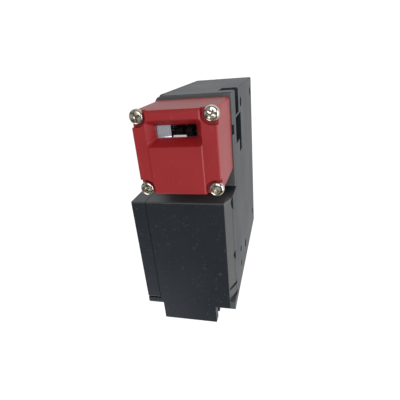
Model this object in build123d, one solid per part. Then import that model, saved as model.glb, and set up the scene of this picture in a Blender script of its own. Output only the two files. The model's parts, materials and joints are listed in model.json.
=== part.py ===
"""Safety door switch with a solenoid guard lock.

The case has a column that carries the key head and, beside it, a taller block that holds the solenoid.
The red head on the column takes the key, which turns a drum. The drum lets a plunger rise to close the
contacts, and the solenoid drives a lock bar into the plunger through a bell crank.

Frame: millimetres, +Z up along the head screws, +Y towards the mounting side, -Y towards the cover.
The column is on the -X side and the side hub on the +X side. The origin is the middle of the base.
"""
from build123d import *
import math
import os

# Case
BODY_WIDTH = 91.0            # along X, without the side hub
BODY_DEPTH = 41.0            # along Y, cover to mounting face
BLOCK_HEIGHT = 88.0          # solenoid block, along Z
COLUMN_WIDTH = 38.8          # column, along X
COLUMN_HEIGHT = 70.2         # column, up to the head's seat
COLUMN_DEPTH = 31.7          # column, along Y from the mounting face
WALL = 2.5
COLUMN_REAR_WALL = 5.5
BLOCK_REAR_WALL = 3.0
END_WALL = 2.5
CORNER_RADIUS = 1.2          # corners of the side outline
SHOULDER_EDGE_RADIUS = 0.5   # the block's corner beside the head
EDGE_RADIUS = 0.8            # long edges along Z
SEAT_PLATE = 5.7             # plate under the head
SEAT_CORNER_RADIUS = 3.0
SEAT_CHAMFER = 0.6           # seat's outer edges

# Cover
COVER_DEPTH = 6.2            # cover's side wall on the block
COVER_PLATE = 2.3
COVER_SILL = 3.2             # strip of the case beside the cover
PARTING_GAP = 0.2
BOSS_CLEARANCE = 0.3
SLOPE_START = 54.0           # where the cover starts to slope back, from the hub side
SLOPE_RUN = 10.0
SHOULDER_RADIUS = 2.5        # bends of the slope
GASKET_WIDTH = 1.2
GASKET_DEPTH = 0.9

# Side hub with the conduit entry
HUB_REACH = 8.0
HUB_WIDTH = 24.8
HUB_HEIGHT = 26.0
HUB_RIM_GAP = 0.9            # hub's front side to the parting line
HUB_RADIUS = 1.5
HUB_GROOVE_LENGTH = 6.4
HUB_GROOVE_WIDTH = 3.0
HUB_GROOVE_DEPTH = 1.0
HUB_GROOVE_INSET = 4.0       # from the end face
CONDUIT_RADIUS = 9.25
CONDUIT_CHAMFER = 0.8

# Mounting holes and cover screws
MOUNT_SPACING_X = 74.0
MOUNT_SPACING_Z = 40.0
MOUNT_INSET = 7.0            # from the column's outer face and from the base
MOUNT_HOLE_RADIUS = 2.2
MOUNT_BOSS_RADIUS = 4.0
COVER_SCREW_RADIUS = 1.3
COVER_SCREW_HEAD_RADIUS = 2.5
COVER_SCREW_HEAD = 1.6
COVER_SCREW_LENGTH = 9.0
COVER_SCREW_GAP = 0.3
COVER_BOSS_RADIUS = 3.2
COVER_BORE_DEPTH = 11.0
BOSS_MERGE = 0.2             # how far a boss runs into the wall beside it

# Head
HEAD_WIDTH = 30.0
HEAD_HEIGHT = 26.3
HEAD_MARGIN_X = 1.5          # head's side to the column's outer face
HEAD_MARGIN_Y = 1.0          # head's side to the mounting face
HEAD_WALL = 3.0
HEAD_TOP_WALL = 5.5
HEAD_CORNER_RADIUS = 1.5
HEAD_CHAMFER = 0.8
HEAD_GASKET = 0.5
GASKET_INSET = 0.2
SCREW_INSET = 2.0            # screw axis to the head's sides
SCREW_HEAD_RADIUS = 2.65
SCREW_HEAD_HEIGHT = 2.0
SCREW_SHANK_RADIUS = 1.45
SCREW_CLEARANCE = 0.25
SCREW_POCKET_RADIUS = 3.6
SCREW_POCKET_DEPTH = 2.3
SCREW_CORNER = 5.5           # solid corner round each head screw
CROSS_REACH = 1.9            # cross recess of a screw head
CROSS_WIDTH = 0.9
CROSS_DEPTH = 1.1
INSERT_RADIUS = 1.9
INSERT_LENGTH = 4.6
FIELD_WIDTH = 18.7           # raised middle field
FIELD_STEP = 0.4
FIELD_OFFSET = -0.4          # field and funnel, from the head's centre along Y

# Key slot and its funnel
SLOT_WIDTH = 15.1            # along Y
SLOT_HEIGHT = 4.55           # along X
SLOT_OFFSET_X = -7.0         # from the head's centre, as the next
SLOT_OFFSET_Y = -0.5
SLOT_RADIUS = 0.5
FUNNEL_WIDTH = 20.2
FUNNEL_HEIGHT = 9.2
FUNNEL_OFFSET = -7.1
FUNNEL_DEPTH = 4.0
FUNNEL_RADIUS = 1.2

# Drum and bracket
DRUM_FLOOR_GAP = 1.3         # drum to the bracket's base
DRUM_ROOF_GAP = 1.5          # drum to the head's inside
DRUM_OFFSET_X = 1.5          # from the head's centre
DRUM_OFFSET_Y = 2.0
DRUM_DISCS = 3
DRUM_DISC = 2.4
DRUM_GROOVE = 1.4
DRUM_DROP = 4.0
DRUM_DROP_ANGLE = 34.0       # degrees from the bottom, as the next two
DRUM_LOW_END = 65.0
DRUM_RISE_END = 77.0
DRUM_RAMP_POINTS = 8
DRUM_SLEEVE_RADIUS = 3.4
KEY_NOTCH_WIDTH = 3.4
KEY_NOTCH_DEPTH = 3.7
KEY_NOTCH_ANGLE = 45.0       # notches on both sides of the top
SHAFT_RADIUS = 2.0
RUNNING = 0.05               # radial clearance of a turning or sliding fit
BRACKET_PLATE = 1.0
BRACKET_SIDE_GAP = 1.0
BRACKET_FRONT = 9.0          # cheeks' outer faces, from the head's centre
BRACKET_REAR = 9.5
STOP_STRIP_WIDTH = 1.6       # stop strip under the key slot's inner edge
STOP_STRIP_SHOW = 0.6        # how far it shows past that edge
STOP_STRIP_START = 1.6       # from the middle of the slot, as the next
STOP_STRIP_END = 3.1
TONGUE_END = 2.6             # guide tongue's free end, from the middle of the slot
TONGUE_DROP = 0.8

# Plunger
PLUNGER_RADIUS = 2.5
PLUNGER_GAP = 0.3
PLUNGER_LIFT = 3.2
PLUNGER_DOME = 2.0
BUSH_RADIUS = 4.0
NOTCH_DEPTH = 2.5
NOTCH_HEIGHT = 2.3
SPRING_WIRE = 0.7
PLUNGER_SPRING_TURNS = 5
PLUNGER_SPRING_RADIUS = 2.6
SPIGOT_HEIGHT = 2.0

# Contacts
INNER_GAP = 1.0              # inner parts to the bosses and walls beside them
CONTACT_HEIGHT = 22.0
CONTACT_FRONT = 4.5          # front face, from the plunger's axis
CHAMBER_WALL = 1.2
CARRIER_WIDTH = 8.0
CARRIER_DEPTH = 7.0
CARRIER_RISE = 1.0           # carrier's underside above the contact block's
SLIDE_GAP = 0.3
BRIDGE_LENGTH = 18.0
BRIDGE_WIDTH = 3.0
BRIDGE_THICKNESS = 0.8
BRIDGE_PLAY = 0.1
OPEN_BRIDGE_RISE = 5.0       # above the contact block's underside
CLOSED_BRIDGE_RISE = 16.0
RIVET_RADIUS = 1.2
RIVET_HEIGHT = 0.6
RIVET_INSET = 1.6
STRIP_THICKNESS = 0.8
STRIP_REACH = 2.8            # strip's inner end, from the bridge's end
CONTACT_GAP = 0.3
PAD_HEIGHT = 6.0
CLAMP_HEAD_RADIUS = 2.0
CLAMP_HEAD = 1.4
CLAMP_SHANK_RADIUS = 1.1
CLAMP_SHANK_LENGTH = 5.0
DRIVE_WIDTH = 0.6            # driving slot of the small screws
DRIVE_DEPTH = 0.7

# Solenoid
COIL_OFFSET = 18.8           # coil's axis from the wall beside the hub
FRAME_TOP_GAP = 3.0          # yoke to the upper mounting boss
FRAME_WIDTH = 28.0
FRAME_EAR = 4.0              # back plate beyond the end plates
FRAME_PLATE = 2.5
FRAME_FRONT = 1.5            # end plates beyond the coil
FRAME_SCREW_INSET = 2.2
FRAME_SCREW_RADIUS = 1.35
FRAME_SCREW_HEAD_RADIUS = 2.1
FRAME_SCREW_HEAD = 1.4
ARMATURE_TRAVEL = 4.0
ARMATURE_GAP = 0.4
BOBBIN_WALL = 1.2
FLANGE_LIP = 0.2
COIL_THICKNESS = 1.4
COIL_GAP = 0.35
STOP_HEIGHT = 3.0
COLLAR_RISE = 10.0
COLLAR_LIP = 2.4
COLLAR_THICKNESS = 1.3
LOCK_SPRING_GAP = 1.2        # spring's middle line from the armature
LOCK_SPRING_TURNS = 4
CLEVIS_WIDTH = 7.0
CLEVIS_SLIT = 2.6
PIN_RADIUS = 1.0

# Lever and lock bar
LEVER_OFFSET = 6.2           # lever's axis from the wall towards the column
LEVER_RISE = 15.0            # lever's axis above the yoke
LEVER_DROP = 12.0            # lever's axis to the lock bar
LEVER_PLATE = 2.0
LEVER_ARM = 4.4
LEVER_HUB_RADIUS = 3.4
LEVER_BOSS_GAP = 0.4
LEVER_PIN_RADIUS = 1.5
LEVER_PIN_HEAD = 0.9
LEVER_PIN_LIP = 1.0
FORK_GAP = 0.15
FORK_END = 2.0               # fork beyond the pin it holds
FORK_ROOM = 1.6
BAR_THICKNESS = 2.0
BAR_TIP = 1.7
BAR_HEIGHT = 3.4
BAR_GAP = 0.7
BAR_SHOULDER = 1.2
BAR_END = 2.4

# Blanking plug and earth screw
PLUG_OFFSET = 21.8           # plug's axis from the wall beside the hub
PLUG_DEPTH = 7.0
PLUG_RING_RADIUS = 12.5
PLUG_RECESS = 0.4
PLUG_SLOT_LENGTH = 13.0
PLUG_SLOT_WIDTH = 2.0
PLUG_SLOT_DEPTH = 1.6
EARTH_OFFSET_Z = 15.0        # from the end face
EARTH_BOSS = 5.5
EARTH_BOSS_RADIUS = 4.0
EARTH_WASHER_RADIUS = 3.4
EARTH_HEAD_RADIUS = 2.8

# Cored pockets of the mounting side
BEVEL_DEPTH = 2.4
BEVEL_HEIGHT = 6.0
BEVEL_STOP = 5.0             # full corner left beside the hub
GROOVES = ((49.5, 6.4), (25.0, 4.4))   # place from the hub side, and width
GROOVE_DEPTH = 0.7
GROOVE_DROP = 1.2            # below the bevel
RIB_SLOTS_X = (11.5, 6.0)    # from the hub side
RIB_SLOT_WIDTH = 1.5
RIB_SLOT_HEIGHT = 8.0
RIB_SLOT_DEPTH = 2.2
SIDE_POCKET_WIDTH = 10.0
SIDE_POCKET_DEPTH = 6.8
SIDE_POCKET_LOW = 16.0       # below the head's seat, as the next three
SIDE_POCKET_HIGH = 6.6
REAR_POCKET_LOW = 22.0
REAR_POCKET_HIGH = 6.4
REAR_POCKET_DEPTH = 3.6
REAR_POCKET_START = 11.0     # from the column's outer face, as the next two
REAR_POCKET_STEP = 22.0
REAR_POCKET_END = 28.0
REAR_POCKET_SHOULDER = 6.0
SIDE_PAD = 3.0               # thickening of the walls round the side pocket
VENT_WIDTH = 4.0
VENT_DEPTH = 0.9
EJECTOR_RADIUS = 1.5
EJECTOR_DEPTH = 0.3
EJECTORS_X = (17.25, 9.0)    # from the hub side
EJECTOR_DROP = 24.0          # from the end face

# Places of the case
LEFT = -(BODY_WIDTH + HUB_REACH) / 2
RIGHT = LEFT + BODY_WIDTH
MOUTH = RIGHT + HUB_REACH
FRONT = -BODY_DEPTH / 2
REAR = BODY_DEPTH / 2
BLOCK_LEFT = LEFT + COLUMN_WIDTH
COLUMN_FRONT = REAR - COLUMN_DEPTH
COVER_RIGHT = RIGHT - COVER_SILL
BLOCK_RIM = FRONT + COVER_DEPTH
COLUMN_RIM = COLUMN_FRONT + COVER_PLATE + PARTING_GAP
SLOPE_RIGHT = RIGHT - SLOPE_START
SLOPE_LEFT = SLOPE_RIGHT - SLOPE_RUN
CAVITY_LEFT = LEFT + WALL
CAVITY_RIGHT = COVER_RIGHT - WALL
PARTITION_RIGHT = BLOCK_LEFT + WALL
COLUMN_FLOOR = REAR - COLUMN_REAR_WALL
BLOCK_FLOOR = REAR - BLOCK_REAR_WALL
SEAT_LOW = COLUMN_HEIGHT - SEAT_PLATE
HUB_Y = BLOCK_RIM + HUB_RIM_GAP + HUB_WIDTH / 2
HUB_Z = BLOCK_HEIGHT - HUB_HEIGHT / 2
INNER_LOW = MOUNT_INSET + MOUNT_BOSS_RADIUS + INNER_GAP
OUT = 1.0                    # how far a cutting tool runs past a face

# Places of the head, drum and plunger
HEAD_X = LEFT + HEAD_MARGIN_X + HEAD_WIDTH / 2
HEAD_Y = REAR - HEAD_MARGIN_Y - HEAD_WIDTH / 2
HEAD_LOW = COLUMN_HEIGHT + HEAD_GASKET
HEAD_TOP = HEAD_LOW + HEAD_HEIGHT
HOLLOW_TOP = HEAD_TOP - HEAD_TOP_WALL
POCKET_Z = HEAD_TOP - SCREW_POCKET_DEPTH
SCREW_REACH = HEAD_WIDTH / 2 - SCREW_INSET
SCREW_PLACES = [(HEAD_X + sx * SCREW_REACH, HEAD_Y + sy * SCREW_REACH)
                for sx in (-1, 1) for sy in (-1, 1)]
SLOT_X = HEAD_X + SLOT_OFFSET_X
SLOT_Y = HEAD_Y + SLOT_OFFSET_Y
FIELD_Y = HEAD_Y + FIELD_OFFSET
BRACKET_TOP = HOLLOW_TOP - SLIDE_GAP
DRUM_LOW = HEAD_LOW + BRACKET_PLATE + DRUM_FLOOR_GAP
DRUM_RADIUS = (HOLLOW_TOP - DRUM_ROOF_GAP - DRUM_LOW) / 2
DRUM_X = HEAD_X + DRUM_OFFSET_X
DRUM_Y = HEAD_Y + DRUM_OFFSET_Y
DRUM_Z = DRUM_LOW + DRUM_RADIUS
DRUM_WIDTH = DRUM_DISCS * DRUM_DISC + (DRUM_DISCS - 1) * DRUM_GROOVE
PLUNGER_TOP = DRUM_LOW - PLUNGER_GAP

# Places of the contacts
CONTACT_HALF = DRUM_X - CAVITY_LEFT - INNER_GAP
CONTACT_TOP = INNER_LOW + CONTACT_HEIGHT
CONTACT_Y = HEAD_Y - CONTACT_FRONT
CARRIER_BACK = HEAD_Y + CARRIER_DEPTH / 2
OPEN_BRIDGE_Z = INNER_LOW + OPEN_BRIDGE_RISE
CLOSED_BRIDGE_Z = INNER_LOW + CLOSED_BRIDGE_RISE
OPEN_STRIP_Z = OPEN_BRIDGE_Z + BRIDGE_THICKNESS + RIVET_HEIGHT + PLUNGER_LIFT + CONTACT_GAP
CLOSED_STRIP_Z = CLOSED_BRIDGE_Z - RIVET_HEIGHT - CONTACT_GAP - STRIP_THICKNESS

# Places of the solenoid, lever and lock bar
FRAME_HEIGHT = MOUNT_SPACING_Z - 2 * MOUNT_BOSS_RADIUS - INNER_GAP - FRAME_TOP_GAP
FRAME_TOP = INNER_LOW + FRAME_HEIGHT
FRAME_BACK = BLOCK_FLOOR - FRAME_PLATE
COIL_X = CAVITY_RIGHT - COIL_OFFSET
LEVER_X = PARTITION_RIGHT + LEVER_OFFSET
LEVER_Z = FRAME_TOP + LEVER_RISE
BAR_Z = LEVER_Z - LEVER_DROP
BAR_Y = HEAD_Y
LEVER_Y = BAR_Y + BAR_THICKNESS / 2 + FORK_GAP + LEVER_PLATE / 2
BAR_TRAVEL = ARMATURE_TRAVEL * LEVER_DROP / (COIL_X - LEVER_X)
COIL_RADIUS = FRAME_BACK - LEVER_Y - COIL_GAP
BOBBIN_RADIUS = COIL_RADIUS - COIL_THICKNESS
BORE_RADIUS = BOBBIN_RADIUS - BOBBIN_WALL
ARMATURE_RADIUS = BORE_RADIUS - ARMATURE_GAP
COLLAR_Z = FRAME_TOP + COLLAR_RISE
EARTH_X = COIL_X + CLEVIS_WIDTH / 2 + INNER_GAP + EARTH_BOSS_RADIUS
EARTH_Z = BLOCK_HEIGHT - EARTH_OFFSET_Z

# Places of the holes
MOUNT_PLACES = [(LEFT + MOUNT_INSET + across * MOUNT_SPACING_X, MOUNT_INSET + up * MOUNT_SPACING_Z)
                for across in (0, 1) for up in (0, 1)]
BOSS_INSET = COVER_BOSS_RADIUS - BOSS_MERGE
COLUMN_SCREWS = [(CAVITY_LEFT + BOSS_INSET, CONTACT_TOP + INNER_GAP + COVER_BOSS_RADIUS),
                 (SLOPE_LEFT - COVER_SCREW_HEAD_RADIUS - COVER_SCREW_GAP,
                  SEAT_LOW - INNER_GAP - COVER_BOSS_RADIUS)]
HUB_SCREW_Z = MOUNT_PLACES[3][1] + MOUNT_BOSS_RADIUS + FRAME_TOP_GAP + COVER_BOSS_RADIUS
BLOCK_SCREWS = [(PARTITION_RIGHT + BOSS_INSET, END_WALL + BOSS_INSET),
                (PARTITION_RIGHT + BOSS_INSET, BLOCK_HEIGHT - END_WALL - BOSS_INSET),
                (CAVITY_RIGHT - BOSS_INSET, HUB_SCREW_Z)]
COVER_SCREW_PLACES = [(x, z, COLUMN_FRONT, COLUMN_RIM) for x, z in COLUMN_SCREWS]
COVER_SCREW_PLACES += [(x, z, FRONT, BLOCK_RIM) for x, z in BLOCK_SCREWS]


def block(x_low, x_high, y_low, y_high, z_low, z_high):
    """Box between two values on each axis."""
    size = Box(x_high - x_low, y_high - y_low, z_high - z_low)
    return Pos((x_low + x_high) / 2, (y_low + y_high) / 2, (z_low + z_high) / 2) * size


def rod_x(radius, x_low, x_high, y, z):
    """Cylinder along X."""
    return Pos((x_low + x_high) / 2, y, z) * Rot(0, 90, 0) * Cylinder(radius, x_high - x_low)


def rod_y(radius, x, y_low, y_high, z):
    """Cylinder along Y."""
    return Pos(x, (y_low + y_high) / 2, z) * Rot(90, 0, 0) * Cylinder(radius, y_high - y_low)


def rod_z(radius, x, y, z_low, z_high):
    """Cylinder along Z."""
    return Pos(x, y, (z_low + z_high) / 2) * Cylinder(radius, z_high - z_low)


def rounded_face(points, radii):
    """Flat outline whose corners are rounded where their radius isn't zero."""
    outline = make_face(Polyline(points, close=True))
    for point, radius in zip(points, radii):
        if radius:
            corner = outline.vertices().sort_by_distance(Vector(*point))[0]
            outline = fillet(corner, radius)
    return outline


def prism_x(points, x_low, x_high):
    """Prism along X of an outline given in Y and Z."""
    plane = Plane(origin=(x_low, 0, 0), x_dir=(0, 1, 0), z_dir=(1, 0, 0))
    outline = make_face(Polyline(points, close=True))
    return extrude(plane * outline, amount=x_high - x_low, dir=(1, 0, 0))


def prism_y(points, y_low, y_high, radii=None):
    """Prism along Y of an outline given in X and Z."""
    outline = rounded_face([(x, -z) for x, z in points], radii or [0] * len(points))
    plane = Plane(origin=(0, y_low, 0), x_dir=(1, 0, 0), z_dir=(0, 1, 0))
    return extrude(plane * outline, amount=y_high - y_low, dir=(0, 1, 0))


def prism_z(points, z_low, z_high, radii=None):
    """Prism along Z of an outline given in X and Y."""
    outline = rounded_face(points, radii or [0] * len(points))
    return extrude(Pos(0, 0, z_low) * outline, amount=z_high - z_low)


def side_outline(inset, right, column_top):
    """L-shaped side of the case in X and Z, moved inwards by an inset."""
    return [(LEFT + inset, inset), (right - inset, inset), (right - inset, BLOCK_HEIGHT - inset),
            (BLOCK_LEFT + inset, BLOCK_HEIGHT - inset), (BLOCK_LEFT + inset, column_top - inset),
            (LEFT + inset, column_top - inset)]


def side_radii():
    """Corner radii of the side outline, in the order of its points."""
    radii = [CORNER_RADIUS] * 6
    radii[3] = SHOULDER_EDGE_RADIUS
    return radii


def driving_slot(x, z, reach, top, crossed):
    """Driving slot, or cross, of a small screw whose head faces -Y."""
    half = DRIVE_WIDTH / 2
    shape = block(x - reach, x + reach, top - OUT, top + DRIVE_DEPTH, z - half, z + half)
    if crossed:
        shape += block(x - half, x + half, top - OUT, top + DRIVE_DEPTH, z - reach, z + reach)
    return shape


def housing():
    """Black case: column, block, hub, inner walls, bosses and the pockets of the mounting side."""
    shape = prism_y(side_outline(0, RIGHT, COLUMN_HEIGHT), FRONT, REAR, side_radii())
    section = [(LEFT, REAR), (RIGHT, REAR), (RIGHT, FRONT), (COVER_RIGHT, FRONT), (COVER_RIGHT, BLOCK_RIM),
               (SLOPE_RIGHT, BLOCK_RIM), (SLOPE_LEFT, COLUMN_RIM), (LEFT, COLUMN_RIM)]
    edge = EDGE_RADIUS
    shape &= prism_z(section, 0, BLOCK_HEIGHT, [edge, edge, edge, 0, 0, 0, 0, 0])
    shape += seat_plate()
    shape -= seat_edges()
    shape -= block(CAVITY_LEFT, BLOCK_LEFT, FRONT, COLUMN_FLOOR, END_WALL, SEAT_LOW)
    shape -= block(PARTITION_RIGHT, CAVITY_RIGHT, FRONT, BLOCK_FLOOR, END_WALL, BLOCK_HEIGHT - END_WALL)
    shape += hub()
    shape += case_bosses()
    shape -= case_holes()
    shape -= rear_pockets()
    return shape - cover_gasket()


def seat_plate():
    """Plate that the head sits on, with rounded front corner."""
    corners = [(LEFT, COLUMN_FRONT), (PARTITION_RIGHT, COLUMN_FRONT), (PARTITION_RIGHT, REAR), (LEFT, REAR)]
    return prism_z(corners, SEAT_LOW, COLUMN_HEIGHT, [SEAT_CORNER_RADIUS, 0, 0, EDGE_RADIUS])


def seat_edges():
    """Chamfers along the seat's two outer edges."""
    high = COLUMN_HEIGHT + OUT
    low = COLUMN_HEIGHT - SEAT_CHAMFER
    shape = prism_x([(REAR - SEAT_CHAMFER, COLUMN_HEIGHT), (REAR, low), (REAR + OUT, low),
                     (REAR + OUT, high), (REAR - SEAT_CHAMFER, high)], LEFT - OUT, BLOCK_LEFT)
    return shape + prism_y([(LEFT + SEAT_CHAMFER, COLUMN_HEIGHT), (LEFT, low), (LEFT - OUT, low),
                            (LEFT - OUT, high), (LEFT + SEAT_CHAMFER, high)], FRONT, REAR + OUT)


def hub():
    """Square hub on the +X side, flush with the block's end face, grooved on its two sides."""
    y_low = HUB_Y - HUB_WIDTH / 2
    y_high = HUB_Y + HUB_WIDTH / 2
    shape = block(CAVITY_RIGHT, MOUTH, y_low, y_high, BLOCK_HEIGHT - HUB_HEIGHT, BLOCK_HEIGHT)
    shape = fillet(shape.edges().filter_by(Axis.X).group_by(Axis.Z)[0], HUB_RADIUS)
    groove_top = BLOCK_HEIGHT - HUB_GROOVE_INSET
    for y in (y_low, y_high):
        shape -= block(MOUTH - HUB_GROOVE_LENGTH, MOUTH + OUT, y - HUB_GROOVE_DEPTH, y + HUB_GROOVE_DEPTH,
                       groove_top - HUB_GROOVE_WIDTH, groove_top)
    return shape


def case_bosses():
    """Bosses for mounting holes, cover screws, lever pin, earth screw, conduit plug and spring."""
    inside = REAR - OUT
    shape = rod_y(LEVER_HUB_RADIUS, LEVER_X, LEVER_Y + LEVER_PLATE / 2 + LEVER_BOSS_GAP, inside, LEVER_Z)
    shape += rod_y(EARTH_BOSS_RADIUS, EARTH_X, BLOCK_FLOOR - EARTH_BOSS, inside, EARTH_Z)
    shape += rod_z(PLUG_RING_RADIUS, CAVITY_RIGHT - PLUG_OFFSET, HUB_Y, OUT, PLUG_RECESS + PLUG_DEPTH)
    shape += rod_z(PLUNGER_SPRING_RADIUS - SPRING_WIRE, DRUM_X, HEAD_Y, OUT, END_WALL + SPIGOT_HEIGHT)
    for x, z in MOUNT_PLACES:
        front = COLUMN_FRONT if x < BLOCK_LEFT else FRONT
        shape += rod_y(MOUNT_BOSS_RADIUS, x, front + BOSS_MERGE, inside, z)
    for x, z, _, rim in COVER_SCREW_PLACES:
        shape += rod_y(COVER_BOSS_RADIUS, x, rim, inside, z)
    shape += block(LEFT + OUT, LEFT + SIDE_POCKET_WIDTH + SIDE_PAD, REAR - SIDE_POCKET_DEPTH - SIDE_PAD,
                   inside, COLUMN_HEIGHT - SIDE_POCKET_LOW - SIDE_PAD, SEAT_LOW + OUT)
    return shape


def case_holes():
    """Holes through the case and its bosses, and the window of the lock bar."""
    shape = rod_y(LEVER_PIN_RADIUS, LEVER_X, LEVER_Y, BLOCK_FLOOR + OUT, LEVER_Z)
    shape += rod_y(COVER_SCREW_RADIUS, EARTH_X, BLOCK_FLOOR - EARTH_BOSS - OUT, BLOCK_FLOOR + OUT, EARTH_Z)
    shape += rod_z(CONDUIT_RADIUS, CAVITY_RIGHT - PLUG_OFFSET, HUB_Y, -OUT, PLUG_RECESS + PLUG_DEPTH + OUT)
    shape += rod_x(CONDUIT_RADIUS, CAVITY_RIGHT - OUT, MOUTH + OUT, HUB_Y, HUB_Z)
    cone = Cone(CONDUIT_RADIUS, CONDUIT_RADIUS + CONDUIT_CHAMFER, CONDUIT_CHAMFER)
    shape += Pos(MOUTH - CONDUIT_CHAMFER / 2, HUB_Y, HUB_Z) * Rot(0, 90, 0) * cone
    shape += rod_z(BUSH_RADIUS, DRUM_X, HEAD_Y, SEAT_LOW - OUT, COLUMN_HEIGHT + OUT)
    for x, y in SCREW_PLACES:
        shape += rod_z(INSERT_RADIUS, x, y, COLUMN_HEIGHT - INSERT_LENGTH, COLUMN_HEIGHT + OUT)
    for x, z in MOUNT_PLACES:
        shape += rod_y(MOUNT_HOLE_RADIUS, x, FRONT - OUT, REAR + OUT, z)
    for x, z, _, rim in COVER_SCREW_PLACES:
        shape += rod_y(COVER_SCREW_RADIUS, x, rim - OUT, rim + COVER_BORE_DEPTH, z)
    half = BAR_HEIGHT / 2 + SLIDE_GAP
    side = BAR_THICKNESS / 2 + SLIDE_GAP
    return shape + block(BLOCK_LEFT - OUT, PARTITION_RIGHT + OUT, BAR_Y - side, BAR_Y + side,
                         BAR_Z - half, BAR_Z + half)


def rear_pockets():
    """Cored pockets of the mounting side and the bevel along the block's end."""
    seat = COLUMN_HEIGHT
    past = REAR + OUT
    shape = block(LEFT - OUT, LEFT + SIDE_POCKET_WIDTH, REAR - SIDE_POCKET_DEPTH, past,
                  seat - SIDE_POCKET_LOW, seat - SIDE_POCKET_HIGH)
    start = LEFT + REAR_POCKET_START
    shoulder = seat - REAR_POCKET_LOW + REAR_POCKET_SHOULDER
    steps = [(start, seat - REAR_POCKET_LOW), (LEFT + REAR_POCKET_END, seat - REAR_POCKET_LOW),
             (LEFT + REAR_POCKET_END, shoulder), (LEFT + REAR_POCKET_STEP, shoulder),
             (LEFT + REAR_POCKET_STEP, seat - REAR_POCKET_HIGH), (start, seat - REAR_POCKET_HIGH)]
    shape += prism_y(steps, REAR - REAR_POCKET_DEPTH, past)
    vent = start + (REAR_POCKET_STEP - REAR_POCKET_START) / 2 - VENT_WIDTH
    shape += block(vent, vent + VENT_WIDTH, REAR - VENT_DEPTH, past, seat - OUT, seat + OUT)
    top = BLOCK_HEIGHT
    slope = BEVEL_DEPTH / BEVEL_HEIGHT
    profile = [(REAR - BEVEL_DEPTH - slope * OUT, top + OUT), (past, top + OUT), (past, top - BEVEL_HEIGHT),
               (REAR, top - BEVEL_HEIGHT)]
    shape += prism_x(profile, BLOCK_LEFT - OUT, RIGHT - BEVEL_STOP)
    for x, width in GROOVES:
        radius = (width * width / 4 + GROOVE_DEPTH * GROOVE_DEPTH) / (2 * GROOVE_DEPTH)
        shape += rod_z(radius, RIGHT - x, REAR - GROOVE_DEPTH + radius, top - BEVEL_HEIGHT - GROOVE_DROP,
                       top + OUT)
    for x in RIB_SLOTS_X:
        shape += block(RIGHT - x, RIGHT - x + RIB_SLOT_WIDTH, REAR - RIB_SLOT_DEPTH, past,
                       top - RIB_SLOT_HEIGHT, top + OUT)
    for x in EJECTORS_X:
        shape += rod_y(EJECTOR_RADIUS, RIGHT - x, REAR - EJECTOR_DEPTH, past, top - EJECTOR_DROP)
    return shape


def cover_gasket():
    """Seal that follows the rim between case and cover."""
    inset = (WALL - GASKET_WIDTH) / 2
    top = SEAT_LOW - PARTING_GAP
    ring = prism_y(side_outline(inset, COVER_RIGHT, top), FRONT, REAR)
    ring -= prism_y(side_outline(inset + GASKET_WIDTH, COVER_RIGHT, top), FRONT - OUT, REAR + OUT)
    near = PARTING_GAP
    far = GASKET_DEPTH
    band = [(LEFT - OUT, COLUMN_RIM - near), (SLOPE_LEFT, COLUMN_RIM - near), (SLOPE_RIGHT, BLOCK_RIM - near),
            (RIGHT, BLOCK_RIM - near), (RIGHT, BLOCK_RIM + far), (SLOPE_RIGHT, BLOCK_RIM + far),
            (SLOPE_LEFT, COLUMN_RIM + far), (LEFT - OUT, COLUMN_RIM + far)]
    return ring & prism_z(band, -OUT, BLOCK_HEIGHT + OUT)


def front_cover():
    """Black cover: a shell over the block, a sloping shoulder and a flat plate over the column."""
    shape = prism_y(side_outline(0, COVER_RIGHT, SEAT_LOW - PARTING_GAP), FRONT, REAR, side_radii())
    near = PARTING_GAP
    section = [(COVER_RIGHT - near, FRONT), (COVER_RIGHT - near, BLOCK_RIM - near),
               (SLOPE_RIGHT, BLOCK_RIM - near), (SLOPE_LEFT, COLUMN_RIM - near), (LEFT, COLUMN_RIM - near),
               (LEFT, COLUMN_FRONT), (SLOPE_LEFT, COLUMN_FRONT), (SLOPE_RIGHT, FRONT)]
    radii = [0, 0, 0, 0, 0, EDGE_RADIUS, SHOULDER_RADIUS, SHOULDER_RADIUS]
    shape &= prism_z(section, 0, BLOCK_HEIGHT, radii)
    shape -= block(PARTITION_RIGHT, CAVITY_RIGHT, FRONT + COVER_PLATE, BLOCK_RIM, END_WALL,
                   BLOCK_HEIGHT - END_WALL)
    for x, z, face, rim in COVER_SCREW_PLACES:
        shape += rod_y(COVER_BOSS_RADIUS, x, face + COVER_SCREW_HEAD, rim - PARTING_GAP, z)
        shape -= rod_y(COVER_SCREW_RADIUS + COVER_SCREW_GAP, x, face - OUT, rim + OUT, z)
        shape -= rod_y(COVER_SCREW_HEAD_RADIUS + COVER_SCREW_GAP, x, face - OUT, face + COVER_SCREW_HEAD, z)
    for x, z in MOUNT_PLACES:
        shape -= rod_y(MOUNT_BOSS_RADIUS + BOSS_CLEARANCE, x, FRONT - OUT, REAR, z)
    return shape


def cover_screws():
    """Pan-head screws of the cover, as separate solids in one node."""
    screws = []
    for x, z, face, _ in COVER_SCREW_PLACES:
        seat = face + COVER_SCREW_HEAD
        screw = rod_y(COVER_SCREW_HEAD_RADIUS, x, face, seat, z)
        screw += rod_y(COVER_SCREW_RADIUS, x, seat, seat + COVER_SCREW_LENGTH, z)
        screws.append(screw - driving_slot(x, z, COVER_SCREW_RADIUS, face, True))
    return Compound(children=screws)


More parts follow.
